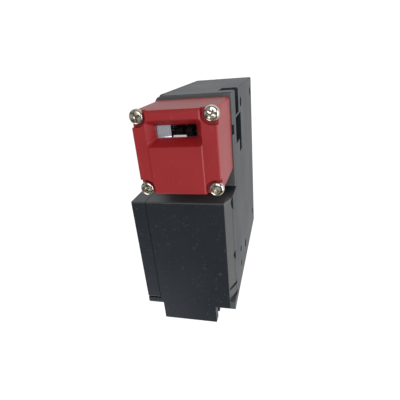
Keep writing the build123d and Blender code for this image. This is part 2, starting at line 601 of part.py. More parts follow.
def head():
    """Red head: funnel and key slot, raised field, open corner pockets, and a cross-shaped hollow."""
    half = HEAD_WIDTH / 2
    x_low, x_high, y_low, y_high = HEAD_X - half, HEAD_X + half, HEAD_Y - half, HEAD_Y + half
    shape = block(x_low, x_high, y_low, y_high, HEAD_LOW, HEAD_TOP)
    shape = fillet(shape.edges().filter_by(Axis.Z), HEAD_CORNER_RADIUS)
    shape = chamfer(shape.faces().sort_by(Axis.Z)[-1].edges(), HEAD_CHAMFER)
    for side in (-1, 1):
        edge = FIELD_Y + side * FIELD_WIDTH / 2
        past = HEAD_Y + side * (half + OUT)
        step = [(edge, HEAD_TOP), (edge + side * FIELD_STEP, HEAD_TOP - FIELD_STEP),
                (past, HEAD_TOP - FIELD_STEP), (past, HEAD_TOP + OUT), (edge, HEAD_TOP + OUT)]
        shape -= prism_x(step, x_low - OUT, x_high + OUT)
    for x, y in SCREW_PLACES:
        shape -= screw_pocket(x, y)
        shape -= rod_z(SCREW_SHANK_RADIUS + SCREW_CLEARANCE, x, y, HEAD_LOW - OUT, HEAD_TOP)
    shape -= funnel()
    wide = half - HEAD_WALL
    narrow = half - SCREW_CORNER
    for reach_x, reach_y in ((wide, narrow), (narrow, wide)):
        shape -= block(HEAD_X - reach_x, HEAD_X + reach_x, HEAD_Y - reach_y, HEAD_Y + reach_y,
                       HEAD_LOW - OUT, HOLLOW_TOP)
    return shape


def screw_pocket(x, y):
    """Round pocket at a head corner, open towards the two outer sides."""
    radius = SCREW_POCKET_RADIUS
    open_x = sorted((x, x + math.copysign(radius + OUT, x - HEAD_X)))
    open_y = sorted((y, y + math.copysign(radius + OUT, y - HEAD_Y)))
    high = HEAD_TOP + OUT
    shape = rod_z(radius, x, y, POCKET_Z, high)
    shape += block(open_x[0], open_x[1], y - radius, y + radius, POCKET_Z, high)
    shape += block(x - radius, x + radius, open_y[0], open_y[1], POCKET_Z, high)
    return shape


def funnel():
    """Tapered mouth and straight throat of the key slot."""
    mouth_outline = RectangleRounded(FUNNEL_HEIGHT, FUNNEL_WIDTH, FUNNEL_RADIUS)
    throat_outline = RectangleRounded(SLOT_HEIGHT, SLOT_WIDTH, SLOT_RADIUS)
    mouth = Pos(HEAD_X + FUNNEL_OFFSET, FIELD_Y, HEAD_TOP) * mouth_outline
    throat = Pos(SLOT_X, SLOT_Y, HEAD_TOP - FUNNEL_DEPTH) * throat_outline
    shape = loft([mouth.face(), throat.face()])
    return shape + extrude(throat, amount=FUNNEL_DEPTH - HEAD_TOP_WALL - OUT)


def head_gasket():
    """Flat seal between the head and its seat."""
    half = HEAD_WIDTH / 2 - GASKET_INSET
    shape = block(HEAD_X - half, HEAD_X + half, HEAD_Y - half, HEAD_Y + half, COLUMN_HEIGHT, HEAD_LOW)
    shape = fillet(shape.edges().filter_by(Axis.Z), HEAD_CORNER_RADIUS)
    for x, y in SCREW_PLACES:
        shape -= rod_z(SCREW_SHANK_RADIUS + SCREW_CLEARANCE, x, y, COLUMN_HEIGHT - OUT, HEAD_LOW + OUT)
    return shape - rod_z(BUSH_RADIUS + SLIDE_GAP, DRUM_X, HEAD_Y, COLUMN_HEIGHT - OUT, HEAD_LOW + OUT)


def head_screws():
    """Four pan-head screws with a cross recess."""
    screws = []
    for x, y in SCREW_PLACES:
        top = POCKET_Z + SCREW_HEAD_HEIGHT
        screw = rod_z(SCREW_HEAD_RADIUS, x, y, POCKET_Z, top)
        screw = fillet(screw.edges().sort_by(Axis.Z)[-1], SCREW_HEAD_HEIGHT / 2)
        screw += rod_z(SCREW_SHANK_RADIUS, x, y, COLUMN_HEIGHT - INSERT_LENGTH, POCKET_Z)
        for reach_x, reach_y in ((CROSS_REACH, CROSS_WIDTH / 2), (CROSS_WIDTH / 2, CROSS_REACH)):
            screw -= block(x - reach_x, x + reach_x, y - reach_y, y + reach_y, top - CROSS_DEPTH, top + OUT)
        screws.append(screw)
    return Compound(children=screws)


def head_inserts():
    """Brass threaded inserts in the seat."""
    low = COLUMN_HEIGHT - INSERT_LENGTH
    rings = [rod_z(INSERT_RADIUS, x, y, low, COLUMN_HEIGHT)
             - rod_z(SCREW_SHANK_RADIUS + RUNNING, x, y, low - OUT, COLUMN_HEIGHT + OUT)
             for x, y in SCREW_PLACES]
    return Compound(children=rings)


def cam_frame():
    """Bent steel bracket that carries the drum's shaft, with a stop strip and a guide tongue for the key."""
    reach = HEAD_WIDTH / 2 - HEAD_WALL - BRACKET_SIDE_GAP
    x_low, x_high = HEAD_X - reach, HEAD_X + reach
    y_low, y_high = HEAD_Y - BRACKET_FRONT, HEAD_Y + BRACKET_REAR
    shape = block(x_low, x_high, y_low, y_high, HEAD_LOW, HEAD_LOW + BRACKET_PLATE)
    for y in (y_low, y_high - BRACKET_PLATE):
        shape += block(x_low, x_high, y, y + BRACKET_PLATE, HEAD_LOW, BRACKET_TOP)
    edge = SLOT_X + SLOT_HEIGHT / 2
    past = edge + STOP_STRIP_WIDTH
    low = BRACKET_TOP - BRACKET_PLATE
    shape += block(edge, past, y_low, y_high, low, BRACKET_TOP)
    shape += block(edge - STOP_STRIP_SHOW, past, SLOT_Y - STOP_STRIP_START, SLOT_Y + STOP_STRIP_END,
                   low, BRACKET_TOP)
    end = SLOT_Y - TONGUE_END
    tongue = [(y_low, BRACKET_TOP), (y_low + BRACKET_PLATE, BRACKET_TOP), (end, BRACKET_TOP - TONGUE_DROP),
              (end, low - TONGUE_DROP), (y_low, low)]
    shape += prism_x(tongue, x_low, past)
    shape -= rod_y(SHAFT_RADIUS, DRUM_X, y_low - OUT, y_high + OUT, DRUM_Z)
    return shape - rod_z(BUSH_RADIUS + SLIDE_GAP, DRUM_X, HEAD_Y, HEAD_LOW - OUT, DRUM_LOW)


def cam_shaft():
    """Pin that the drum turns on."""
    return rod_y(SHAFT_RADIUS, DRUM_X, HEAD_Y - BRACKET_FRONT, HEAD_Y + BRACKET_REAR, DRUM_Z)


def drum_point(angle, radius):
    """Point of the drum's section in X and Z, by its angle from the bottom towards the slot."""
    turn = math.radians(angle)
    return (DRUM_X - radius * math.sin(turn), DRUM_Z - radius * math.cos(turn))


def cam_drum():
    """Ribbed drum with a falling ramp for the plunger, notches for the key and a spacing sleeve."""
    low_radius = DRUM_RADIUS - DRUM_DROP
    parts = [i / DRUM_RAMP_POINTS for i in range(DRUM_RAMP_POINTS + 1)]
    ramp = [drum_point(DRUM_DROP_ANGLE * t, DRUM_RADIUS - DRUM_DROP * t) for t in parts]
    low_middle = (DRUM_DROP_ANGLE + DRUM_LOW_END) / 2
    full_middle = DRUM_RISE_END + (360 - DRUM_RISE_END) / 2
    low_end = drum_point(DRUM_LOW_END, low_radius)
    rise_end = drum_point(DRUM_RISE_END, DRUM_RADIUS)
    edges = [Spline(ramp), ThreePointArc(ramp[-1], drum_point(low_middle, low_radius), low_end),
             Line(low_end, rise_end), ThreePointArc(rise_end, drum_point(full_middle, DRUM_RADIUS), ramp[0])]
    y_low = DRUM_Y - DRUM_WIDTH / 2
    y_high = DRUM_Y + DRUM_WIDTH / 2
    plane = Plane(origin=(0, y_low, 0), x_dir=(1, 0, 0), z_dir=(0, -1, 0))
    shape = extrude(plane * make_face(Curve() + edges), amount=DRUM_WIDTH, dir=(0, 1, 0))
    for i in range(DRUM_DISCS - 1):
        y = y_low + DRUM_DISC + i * (DRUM_DISC + DRUM_GROOVE)
        upper = block(DRUM_X - 2 * DRUM_RADIUS, DRUM_X + 2 * DRUM_RADIUS, y, y + DRUM_GROOVE,
                      DRUM_Z - SHAFT_RADIUS, DRUM_Z + 2 * DRUM_RADIUS)
        shape -= upper - rod_y(low_radius, DRUM_X, y - OUT, y + DRUM_GROOVE + OUT, DRUM_Z)
    for side in (-1, 1):
        notch = Box(KEY_NOTCH_WIDTH, DRUM_WIDTH + OUT, 2 * KEY_NOTCH_DEPTH)
        turn = Rot(0, side * KEY_NOTCH_ANGLE, 0) * Pos(0, 0, DRUM_RADIUS)
        shape -= Pos(DRUM_X, DRUM_Y, DRUM_Z) * turn * notch
    sleeve_low = HEAD_Y - BRACKET_FRONT + BRACKET_PLATE + SLIDE_GAP
    sleeve_high = HEAD_Y + BRACKET_REAR - BRACKET_PLATE - SLIDE_GAP
    shape += rod_y(DRUM_SLEEVE_RADIUS, DRUM_X, sleeve_low, sleeve_high, DRUM_Z)
    return shape - rod_y(SHAFT_RADIUS + RUNNING, DRUM_X, sleeve_low - OUT, sleeve_high + OUT, DRUM_Z)


def plunger():
    """Steel rod with a domed end and two lock notches."""
    shape = rod_z(PLUNGER_RADIUS, DRUM_X, HEAD_Y, CONTACT_TOP, PLUNGER_TOP)
    shape = fillet(shape.edges().sort_by(Axis.Z)[-1], PLUNGER_DOME)
    edge = DRUM_X + PLUNGER_RADIUS - NOTCH_DEPTH
    for z in (BAR_Z, BAR_Z - PLUNGER_LIFT):
        shape -= block(edge, DRUM_X + PLUNGER_RADIUS + OUT, HEAD_Y - PLUNGER_RADIUS - OUT,
                       HEAD_Y + PLUNGER_RADIUS + OUT, z - NOTCH_HEIGHT / 2, z + NOTCH_HEIGHT / 2)
    return shape


def plunger_bush():
    """Guide bush of the plunger in the seat."""
    shape = rod_z(BUSH_RADIUS, DRUM_X, HEAD_Y, SEAT_LOW, HEAD_LOW)
    return shape - rod_z(PLUNGER_RADIUS + RUNNING, DRUM_X, HEAD_Y, SEAT_LOW - OUT, HEAD_LOW + OUT)


def coil_spring(x, y, z_low, z_high, radius, turns):
    """Compression spring along Z."""
    height = z_high - z_low - SPRING_WIRE
    path = Pos(x, y, z_low + SPRING_WIRE / 2) * Helix(pitch=height / turns, height=height, radius=radius)
    section = Plane(origin=path @ 0, z_dir=path % 0) * Circle(SPRING_WIRE / 2)
    return sweep(section, path=path)


def plunger_spring():
    """Spring under the contact carrier that lifts the plunger."""
    return coil_spring(DRUM_X, HEAD_Y, END_WALL, INNER_LOW + CARRIER_RISE, PLUNGER_SPRING_RADIUS,
                       PLUNGER_SPRING_TURNS)


def lock_spring():
    """Spring that pushes the armature out of the coil."""
    return coil_spring(COIL_X, LEVER_Y, FRAME_TOP, COLLAR_Z, ARMATURE_RADIUS + LOCK_SPRING_GAP,
                       LOCK_SPRING_TURNS)


def strip_arm(level, side):
    """Inner arm of a contact strip, as far as it runs through the contact block's front wall."""
    ends = sorted((DRUM_X + side * (BRIDGE_LENGTH / 2 - STRIP_REACH), DRUM_X + side * (BRIDGE_LENGTH / 2)))
    return block(ends[0], ends[1], CONTACT_Y, HEAD_Y + BRIDGE_WIDTH / 2, level, level + STRIP_THICKNESS)


def terminals():
    """Level, side and pad's middle height of the four terminals."""
    lower = OPEN_STRIP_Z + STRIP_THICKNESS - PAD_HEIGHT / 2
    upper = CLOSED_STRIP_Z + PAD_HEIGHT / 2
    return [(level, side, middle) for level, middle in ((OPEN_STRIP_Z, lower), (CLOSED_STRIP_Z, upper))
            for side in (-1, 1)]


def clamp_x(side):
    """X of a terminal's clamp screw."""
    return DRUM_X + side * (CONTACT_HALF - CLAMP_HEAD_RADIUS - STRIP_THICKNESS)


def contact_block():
    """Plastic base of the contacts, with a channel for the carrier and two chambers."""
    shape = block(DRUM_X - CONTACT_HALF, DRUM_X + CONTACT_HALF, CONTACT_Y, COLUMN_FLOOR, INNER_LOW,
                  CONTACT_TOP)
    channel = CARRIER_WIDTH / 2 + SLIDE_GAP
    back = CARRIER_BACK + SLIDE_GAP
    shape -= block(DRUM_X - channel, DRUM_X + channel, CONTACT_Y - OUT, back, INNER_LOW - OUT,
                   CONTACT_TOP + OUT)
    reach = BRIDGE_LENGTH / 2 + INNER_GAP
    levels = ((OPEN_BRIDGE_Z - CHAMBER_WALL, OPEN_STRIP_Z + STRIP_THICKNESS),
              (CLOSED_STRIP_Z, CLOSED_BRIDGE_Z + BRIDGE_THICKNESS + PLUNGER_LIFT))
    for low, high in levels:
        shape -= block(DRUM_X - reach, DRUM_X + reach, CONTACT_Y + CHAMBER_WALL, back, low - SLIDE_GAP,
                       high + SLIDE_GAP)
    for level, side, middle in terminals():
        shape -= strip_arm(level, side)
        shape -= rod_y(CLAMP_SHANK_RADIUS, clamp_x(side), CONTACT_Y - OUT, CONTACT_Y + CLAMP_SHANK_LENGTH,
                       middle)
    return shape


def contact_carrier():
    """Plastic carrier on the plunger's end, with a window for each bridge."""
    half = CARRIER_WIDTH / 2
    depth = BRIDGE_WIDTH / 2 + BRIDGE_PLAY
    shape = block(DRUM_X - half, DRUM_X + half, HEAD_Y - CARRIER_DEPTH / 2, CARRIER_BACK,
                  INNER_LOW + CARRIER_RISE, CONTACT_TOP)
    for z in (OPEN_BRIDGE_Z, CLOSED_BRIDGE_Z):
        shape -= block(DRUM_X - half - OUT, DRUM_X + half + OUT, HEAD_Y - depth, HEAD_Y + depth,
                       z, z + BRIDGE_THICKNESS + BRIDGE_PLAY)
    return shape


def contact_bridges():
    """Two moving contact bridges with their rivets."""
    bridges = []
    half = BRIDGE_LENGTH / 2
    for z, rivet_low in ((OPEN_BRIDGE_Z, OPEN_BRIDGE_Z + BRIDGE_THICKNESS),
                         (CLOSED_BRIDGE_Z, CLOSED_BRIDGE_Z - RIVET_HEIGHT)):
        bridge = block(DRUM_X - half, DRUM_X + half, HEAD_Y - BRIDGE_WIDTH / 2, HEAD_Y + BRIDGE_WIDTH / 2,
                       z, z + BRIDGE_THICKNESS)
        for side in (-1, 1):
            bridge += rod_z(RIVET_RADIUS, DRUM_X + side * (half - RIVET_INSET), HEAD_Y, rivet_low,
                            rivet_low + RIVET_HEIGHT)
        bridges.append(bridge)
    return Compound(children=bridges)


def fixed_contacts():
    """Four bent contact strips on the contact block, each with a terminal pad."""
    strips = []
    for level, side, middle in terminals():
        ends = sorted((DRUM_X + side * (BRIDGE_LENGTH / 2 - STRIP_REACH), DRUM_X + side * CONTACT_HALF))
        strip = block(ends[0], ends[1], CONTACT_Y - STRIP_THICKNESS, CONTACT_Y, middle - PAD_HEIGHT / 2,
                      middle + PAD_HEIGHT / 2)
        strip += strip_arm(level, side)
        strip -= rod_y(CLAMP_SHANK_RADIUS, clamp_x(side), CONTACT_Y - STRIP_THICKNESS - OUT, CONTACT_Y + OUT,
                       middle)
        strips.append(strip)
    return Compound(children=strips)


def terminal_screws():
    """Screws of the four terminals."""
    screws = []
    for _, side, middle in terminals():
        x = clamp_x(side)
        seat = CONTACT_Y - STRIP_THICKNESS
        screw = rod_y(CLAMP_HEAD_RADIUS, x, seat - CLAMP_HEAD, seat, middle)
        screw += rod_y(CLAMP_SHANK_RADIUS, x, seat, CONTACT_Y + CLAMP_SHANK_LENGTH, middle)
        screws.append(screw - driving_slot(x, middle, CLAMP_SHANK_RADIUS, seat - CLAMP_HEAD, True))
    return Compound(children=screws)


def yoke_screw_places():
    """X of the two screws beside the coil."""
    return [COIL_X + side * (FRAME_WIDTH / 2 - FRAME_SCREW_INSET) for side in (-1, 1)]


def solenoid_frame():
    """Bent steel yoke: back plate with two end plates."""
    x_low, x_high = COIL_X - FRAME_WIDTH / 2, COIL_X + FRAME_WIDTH / 2
    front = LEVER_Y - COIL_RADIUS - FRAME_FRONT
    shape = block(x_low, x_high, FRAME_BACK, BLOCK_FLOOR, INNER_LOW, FRAME_TOP)
    for z in (INNER_LOW, FRAME_TOP - FRAME_PLATE):
        shape += block(x_low + FRAME_EAR, x_high - FRAME_EAR, front, BLOCK_FLOOR, z, z + FRAME_PLATE)
    shape -= rod_z(BORE_RADIUS, COIL_X, LEVER_Y, FRAME_TOP - FRAME_PLATE - OUT, FRAME_TOP + OUT)
    middle = INNER_LOW + FRAME_HEIGHT / 2
    for x in yoke_screw_places():
        shape -= rod_y(FRAME_SCREW_RADIUS, x, FRAME_BACK - OUT, BLOCK_FLOOR + OUT, middle)
    return shape


def solenoid_screws():
    """Screws that hold the yoke to the case's rear wall."""
    screws = []
    z = INNER_LOW + FRAME_HEIGHT / 2
    for x in yoke_screw_places():
        screw = rod_y(FRAME_SCREW_HEAD_RADIUS, x, FRAME_BACK - FRAME_SCREW_HEAD, FRAME_BACK, z)
        screw += rod_y(FRAME_SCREW_RADIUS, x, FRAME_BACK, BLOCK_FLOOR, z)
        screws.append(screw - driving_slot(x, z, FRAME_SCREW_RADIUS, FRAME_BACK - FRAME_SCREW_HEAD, False))
    return Compound(children=screws)


def bobbin():
    """Plastic spool of the coil."""
    low, high = INNER_LOW + FRAME_PLATE, FRAME_TOP - FRAME_PLATE
    shape = rod_z(BOBBIN_RADIUS, COIL_X, LEVER_Y, low, high)
    for z in (low, high - BOBBIN_WALL):
        shape += rod_z(COIL_RADIUS + FLANGE_LIP, COIL_X, LEVER_Y, z, z + BOBBIN_WALL)
    return shape - rod_z(BORE_RADIUS, COIL_X, LEVER_Y, low - OUT, high + OUT)


def coil():
    """Winding, as one sleeve on the spool."""
    low = INNER_LOW + FRAME_PLATE + BOBBIN_WALL
    high = FRAME_TOP - FRAME_PLATE - BOBBIN_WALL
    shape = rod_z(COIL_RADIUS, COIL_X, LEVER_Y, low, high)
    return shape - rod_z(BOBBIN_RADIUS, COIL_X, LEVER_Y, low - OUT, high + OUT)


def fixed_core():
    """Steel stop at the closed end of the bore."""
    low = INNER_LOW + FRAME_PLATE
    return rod_z(BORE_RADIUS, COIL_X, LEVER_Y, low, low + STOP_HEIGHT)


def armature():
    """Steel armature with a spring collar and a slotted end for the lever."""
    low = INNER_LOW + FRAME_PLATE + STOP_HEIGHT + ARMATURE_TRAVEL + ARMATURE_GAP
    half = CLEVIS_WIDTH / 2
    slit = CLEVIS_SLIT / 2
    top = LEVER_Z + half
    reach = COIL_RADIUS
    shape = rod_z(ARMATURE_RADIUS, COIL_X, LEVER_Y, low, COLLAR_Z)
    shape += rod_z(ARMATURE_RADIUS + COLLAR_LIP, COIL_X, LEVER_Y, COLLAR_Z, COLLAR_Z + COLLAR_THICKNESS)
    shape += block(COIL_X - half, COIL_X + half, LEVER_Y - half, LEVER_Y + half, COLLAR_Z, top)
    shape -= block(COIL_X - reach, COIL_X + reach, LEVER_Y - slit, LEVER_Y + slit,
                   COLLAR_Z + COLLAR_THICKNESS, top + OUT)
    return shape - rod_y(PIN_RADIUS, COIL_X, LEVER_Y - reach, LEVER_Y + reach, LEVER_Z)


def armature_pin():
    """Cross pin of the armature's slotted end."""
    half = CLEVIS_WIDTH / 2
    return rod_y(PIN_RADIUS, COIL_X, LEVER_Y - half, LEVER_Y + half, LEVER_Z)


def lock_lever():
    """Bell crank with a fork for the armature's pin and a fork for the lock bar's stub."""
    y_low, y_high = LEVER_Y - LEVER_PLATE / 2, LEVER_Y + LEVER_PLATE / 2
    half = LEVER_ARM / 2
    fork = PIN_RADIUS + FORK_GAP
    end_x = COIL_X + FORK_ROOM + OUT
    end_z = BAR_Z - FORK_END
    shape = rod_y(LEVER_HUB_RADIUS, LEVER_X, y_low, y_high, LEVER_Z)
    shape += block(LEVER_X, end_x, y_low, y_high, LEVER_Z - half, LEVER_Z + half)
    shape += block(LEVER_X - half, LEVER_X + half, y_low, y_high, end_z, LEVER_Z)
    shape -= block(COIL_X - FORK_ROOM, end_x + OUT, y_low - OUT, y_high + OUT, LEVER_Z - fork, LEVER_Z + fork)
    shape -= block(LEVER_X - fork, LEVER_X + fork, y_low - OUT, y_high + OUT, end_z - OUT, BAR_Z + FORK_ROOM)
    return shape - rod_y(LEVER_PIN_RADIUS + RUNNING, LEVER_X, y_low - OUT, y_high + OUT, LEVER_Z)


def lever_pin():
    """Fixed pin of the bell crank, with a head that keeps the lever on."""
    head_high = LEVER_Y - LEVER_PLATE / 2 - SLIDE_GAP
    head_low = head_high - LEVER_PIN_HEAD
    shape = rod_y(LEVER_PIN_RADIUS, LEVER_X, head_low, BLOCK_FLOOR, LEVER_Z)
    return shape + rod_y(LEVER_PIN_RADIUS + LEVER_PIN_LIP, LEVER_X, head_low, head_high, LEVER_Z)


def lock_bar():
    """Flat bar with a thin tip, and a stub that the lever's fork drives."""
    y_low, y_high = BAR_Y - BAR_THICKNESS / 2, BAR_Y + BAR_THICKNESS / 2
    tip_x = DRUM_X + PLUNGER_RADIUS + BAR_GAP
    shoulder = tip_x + BAR_TRAVEL + BAR_SHOULDER
    end_x = LEVER_X + BAR_END
    shape = block(tip_x, shoulder, y_low, y_high, BAR_Z - BAR_TIP / 2, BAR_Z + BAR_TIP / 2)
    shape += block(shoulder, end_x, y_low, y_high, BAR_Z - BAR_HEIGHT / 2, BAR_Z + BAR_HEIGHT / 2)
    return shape + rod_y(PIN_RADIUS, LEVER_X, y_high, LEVER_Y + LEVER_PLATE / 2, BAR_Z)


def blanking_plug():
    """Threaded plug of the second conduit entry, with a coin slot, just inside the base."""
    x = CAVITY_RIGHT - PLUG_OFFSET
    shape = rod_z(CONDUIT_RADIUS - RUNNING, x, HUB_Y, PLUG_RECESS, PLUG_RECESS + PLUG_DEPTH)
    return shape - block(x - PLUG_SLOT_LENGTH / 2, x + PLUG_SLOT_LENGTH / 2, HUB_Y - PLUG_SLOT_WIDTH / 2,
                         HUB_Y + PLUG_SLOT_WIDTH / 2, -OUT, PLUG_RECESS + PLUG_SLOT_DEPTH)


def earth_screw():
    """Protective earth screw with its washer."""
    x, z = EARTH_X, EARTH_Z
    seat = BLOCK_FLOOR - EARTH_BOSS
    head_high = seat - STRIP_THICKNESS
    head_low = head_high - FRAME_SCREW_HEAD
    shape = rod_y(EARTH_WASHER_RADIUS, x, head_high, seat, z)
    shape += rod_y(EARTH_HEAD_RADIUS, x, head_low, head_high, z)
    shape += rod_y(COVER_SCREW_RADIUS, x, seat, BLOCK_FLOOR, z)
    return shape - driving_slot(x, z, COVER_SCREW_RADIUS, head_low, True)


PARTS = [
    housing, front_cover, cover_gasket, cover_screws, head, head_gasket, head_screws, head_inserts,
    cam_frame, cam_shaft, cam_drum, plunger, plunger_bush, plunger_spring,
    contact_block, contact_carrier, contact_bridges, fixed_contacts, terminal_screws,
    solenoid_frame, solenoid_screws, bobbin, coil, fixed_core, armature, armature_pin, lock_spring,
    lock_lever, lever_pin, lock_bar, blanking_plug, earth_screw,
]

os.makedirs("parts", exist_ok=True)
for part in PARTS:
    export_step(part(), f"parts/{part.__name__}.step")
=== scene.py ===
# %% [markdown]
# # A safety door switch with a guard lock
#
# The real object is a small machine part about as long as a hand. A red plastic head takes a metal key
# from the guard door, and a black case behind it holds the contacts and a solenoid that locks the key in.
# This lesson takes the measured CAD solids as a fixed frame. It gives each of them a finish, and it
# models again those pieces whose real shape is finer than a plain solid.

import json
import math

import bmesh
import bpy
from mathutils import Matrix, Vector

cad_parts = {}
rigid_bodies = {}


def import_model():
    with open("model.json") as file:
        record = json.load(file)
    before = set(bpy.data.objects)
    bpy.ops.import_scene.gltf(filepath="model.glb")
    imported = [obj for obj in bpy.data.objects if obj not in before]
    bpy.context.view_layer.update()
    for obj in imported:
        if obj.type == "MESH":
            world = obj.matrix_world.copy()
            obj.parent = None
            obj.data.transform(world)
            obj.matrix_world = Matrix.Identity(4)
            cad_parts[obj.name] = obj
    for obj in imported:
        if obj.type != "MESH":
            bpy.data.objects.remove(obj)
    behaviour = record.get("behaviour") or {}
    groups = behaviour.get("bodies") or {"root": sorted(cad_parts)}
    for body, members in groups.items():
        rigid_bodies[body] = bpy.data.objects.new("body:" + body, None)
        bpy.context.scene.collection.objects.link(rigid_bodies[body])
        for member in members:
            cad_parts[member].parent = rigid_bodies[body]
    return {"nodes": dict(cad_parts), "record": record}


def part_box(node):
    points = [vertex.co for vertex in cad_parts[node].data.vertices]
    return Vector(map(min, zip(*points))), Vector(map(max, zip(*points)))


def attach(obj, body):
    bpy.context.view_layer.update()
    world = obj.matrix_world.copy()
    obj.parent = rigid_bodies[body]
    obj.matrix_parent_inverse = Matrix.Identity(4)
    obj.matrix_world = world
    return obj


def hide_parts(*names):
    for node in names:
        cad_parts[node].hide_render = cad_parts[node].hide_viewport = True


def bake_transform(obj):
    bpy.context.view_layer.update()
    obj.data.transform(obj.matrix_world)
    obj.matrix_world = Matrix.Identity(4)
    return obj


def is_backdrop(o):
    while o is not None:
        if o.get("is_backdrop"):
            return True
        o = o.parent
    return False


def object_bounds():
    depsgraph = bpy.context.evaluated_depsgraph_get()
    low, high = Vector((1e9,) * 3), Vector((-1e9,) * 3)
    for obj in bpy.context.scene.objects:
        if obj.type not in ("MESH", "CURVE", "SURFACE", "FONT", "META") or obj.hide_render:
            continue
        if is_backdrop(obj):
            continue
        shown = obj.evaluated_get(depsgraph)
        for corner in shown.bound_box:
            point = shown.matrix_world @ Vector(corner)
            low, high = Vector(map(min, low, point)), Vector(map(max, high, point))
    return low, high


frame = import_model()
cad_low, cad_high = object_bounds()
nodes = frame["nodes"]
MM = 0.001
print("CAD nodes:", len(nodes), "box in mm:", [round(v / MM, 1) for v in cad_high - cad_low])

# %% [markdown]
# ## The photographer's place
#
# The picture was taken from above the key end, a little towards the mounting side, with a short lens, so
# the case narrows quickly towards its far end. A camera could be aimed with a constraint, but this one
# looks past the object's middle, so its own axes are written down instead: where it stands, what is to its
# right, and what is above it. The shift slides the picture on the film, as the crop of the photo did.

# %% Camera
CAMERA_PLACE = Vector((-63.5, 40.9, 201.2)) * MM
CAMERA_RIGHT = Vector((0.082, 0.971, -0.224))
CAMERA_AHEAD = Vector((0.406, -0.238, -0.882))

bpy.ops.object.camera_add()
camera = bpy.context.object
camera.name = "photo_camera"
back = -CAMERA_AHEAD.normalized()
right = (CAMERA_RIGHT - CAMERA_RIGHT.dot(back) * back).normalized()
above = back.cross(right)
camera.matrix_world = Matrix.Translation(CAMERA_PLACE) @ Matrix((right, above, back)).transposed().to_4x4()
camera.data.lens = 29.83
camera.data.sensor_width = 36
camera.data.shift_x = -0.0098
camera.data.shift_y = 0.0043
camera.data.clip_start = 0.01
bpy.context.scene.camera = camera
bpy.context.scene.view_settings.view_transform = "Standard"
print("camera stands at mm:", [round(v / MM, 1) for v in camera.matrix_world.translation])

# %% [markdown]
# ## A small language for finishes
#
# A material is a net of nodes, and a sum over three textures soon becomes a long list of links. Here a
# socket is wrapped in a small class, so that a sum is written as a sum and each sign adds its Math node.
# Every other node comes from one method, which takes the node's type, its settings and its sockets.

# %% Sockets that can be added and multiplied
class Wire:
    """One output of a node, which takes part in sums."""

    def __init__(self, finish, socket):
        self.finish = finish
        self.socket = socket

    def sum(self, operation, first, second):
        node = self.finish.node("ShaderNodeMath", {"operation": operation}, {0: first, 1: second})
        return node.out()

    def __add__(self, other):
        return self.sum("ADD", self, other)

    def __radd__(self, other):
        return self.sum("ADD", other, self)

    def __sub__(self, other):
        return self.sum("SUBTRACT", self, other)

    def __rsub__(self, other):
        return self.sum("SUBTRACT", other, self)

    def __mul__(self, other):
        return self.sum("MULTIPLY", self, other)

    def __rmul__(self, other):
        return self.sum("MULTIPLY", other, self)


class Added:
    """A node that was added to a finish."""

    def __init__(self, finish, node):
        self.finish = finish
        self.node = node

    def out(self, key=0):
        return Wire(self.finish, self.node.outputs[key])


class Finish:
    """A material that is being put together."""

    def __init__(self, name):
        self.material = bpy.data.materials.new(name)
        self.material.use_nodes = True
        self.tree = self.material.node_tree
        self.tree.nodes.clear()
        self.place = self.node("ShaderNodeTexCoord").out("Object")

    def node(self, kind, settings=None, sockets=None):
        made = self.tree.nodes.new(kind)
        for key, value in (settings or {}).items():
            if key == "stops":
                self.set_stops(made.color_ramp, value)
            else:
                setattr(made, key, value)
        for key, value in (sockets or {}).items():
            if isinstance(value, Wire):
                self.tree.links.new(value.socket, made.inputs[key])
            else:
                made.inputs[key].default_value = value
        return Added(self, made)

    def set_stops(self, ramp, stops):
        while len(ramp.elements) < len(stops):
            ramp.elements.new(1.0)
        for element, (position, value) in zip(ramp.elements, stops):
            element.position = position
            element.color = (value, value, value, 1)

    def noise(self, scale, detail, stretch=(1, 1, 1)):
        """Cloudy pattern with so many cells to the metre, drawn out where stretch is small."""
        point = self.node("ShaderNodeMapping", None, {"Vector": self.place, "Scale": stretch}).out()
        sockets = {"Vector": point, "Scale": scale, "Detail": detail}
        return self.node("ShaderNodeTexNoise", None, sockets).out()

    def ramp(self, value, stops):
        return self.node("ShaderNodeValToRGB", {"stops": stops}, {"Fac": value}).out()

    def rise(self, value, start, full):
        """From 0 to 1 while a length goes from start to full, in millimetres."""
        sockets = {"Value": value, "From Min": start * MM, "From Max": full * MM}
        return self.node("ShaderNodeMapRange", None, sockets).out()

    def within(self, low, high, soft=0.2):
        """1 inside a box given by two corners in millimetres, 0 outside, and between the two over soft."""
        axes = self.node("ShaderNodeSeparateXYZ", None, {"Vector": self.place})
        mask = 1
        for axis, start, stop in zip("XYZ", low, high):
            mask = self.rise(axes.out(axis), start, start + soft) * mask
            mask = self.rise(axes.out(axis), stop, stop - soft) * mask
        return mask

    def mix(self, factor, first, second):
        """Blend of two colours. A Mix node keeps one set of sockets for each kind of data."""
        colours = [c if isinstance(c, Wire) else (*c, 1) for c in (first, second)]
        sockets = {0: factor, 6: colours[0], 7: colours[1]}
        return self.node("ShaderNodeMix", {"data_type": "RGBA"}, sockets).out(2)

    def bump(self, height, depth):
        """Normal of a surface that rises by a depth, in metres, where height is 1."""
        return self.node("ShaderNodeBump", None, {"Height": height, "Distance": depth}).out()

    def finish(self, sockets):
        shader = self.node("ShaderNodeBsdfPrincipled", None, sockets).out()
        self.node("ShaderNodeOutputMaterial", None, {"Surface": shader})
        print("finish", self.material.name, "shader nodes:", len(self.tree.nodes))
        return self.material


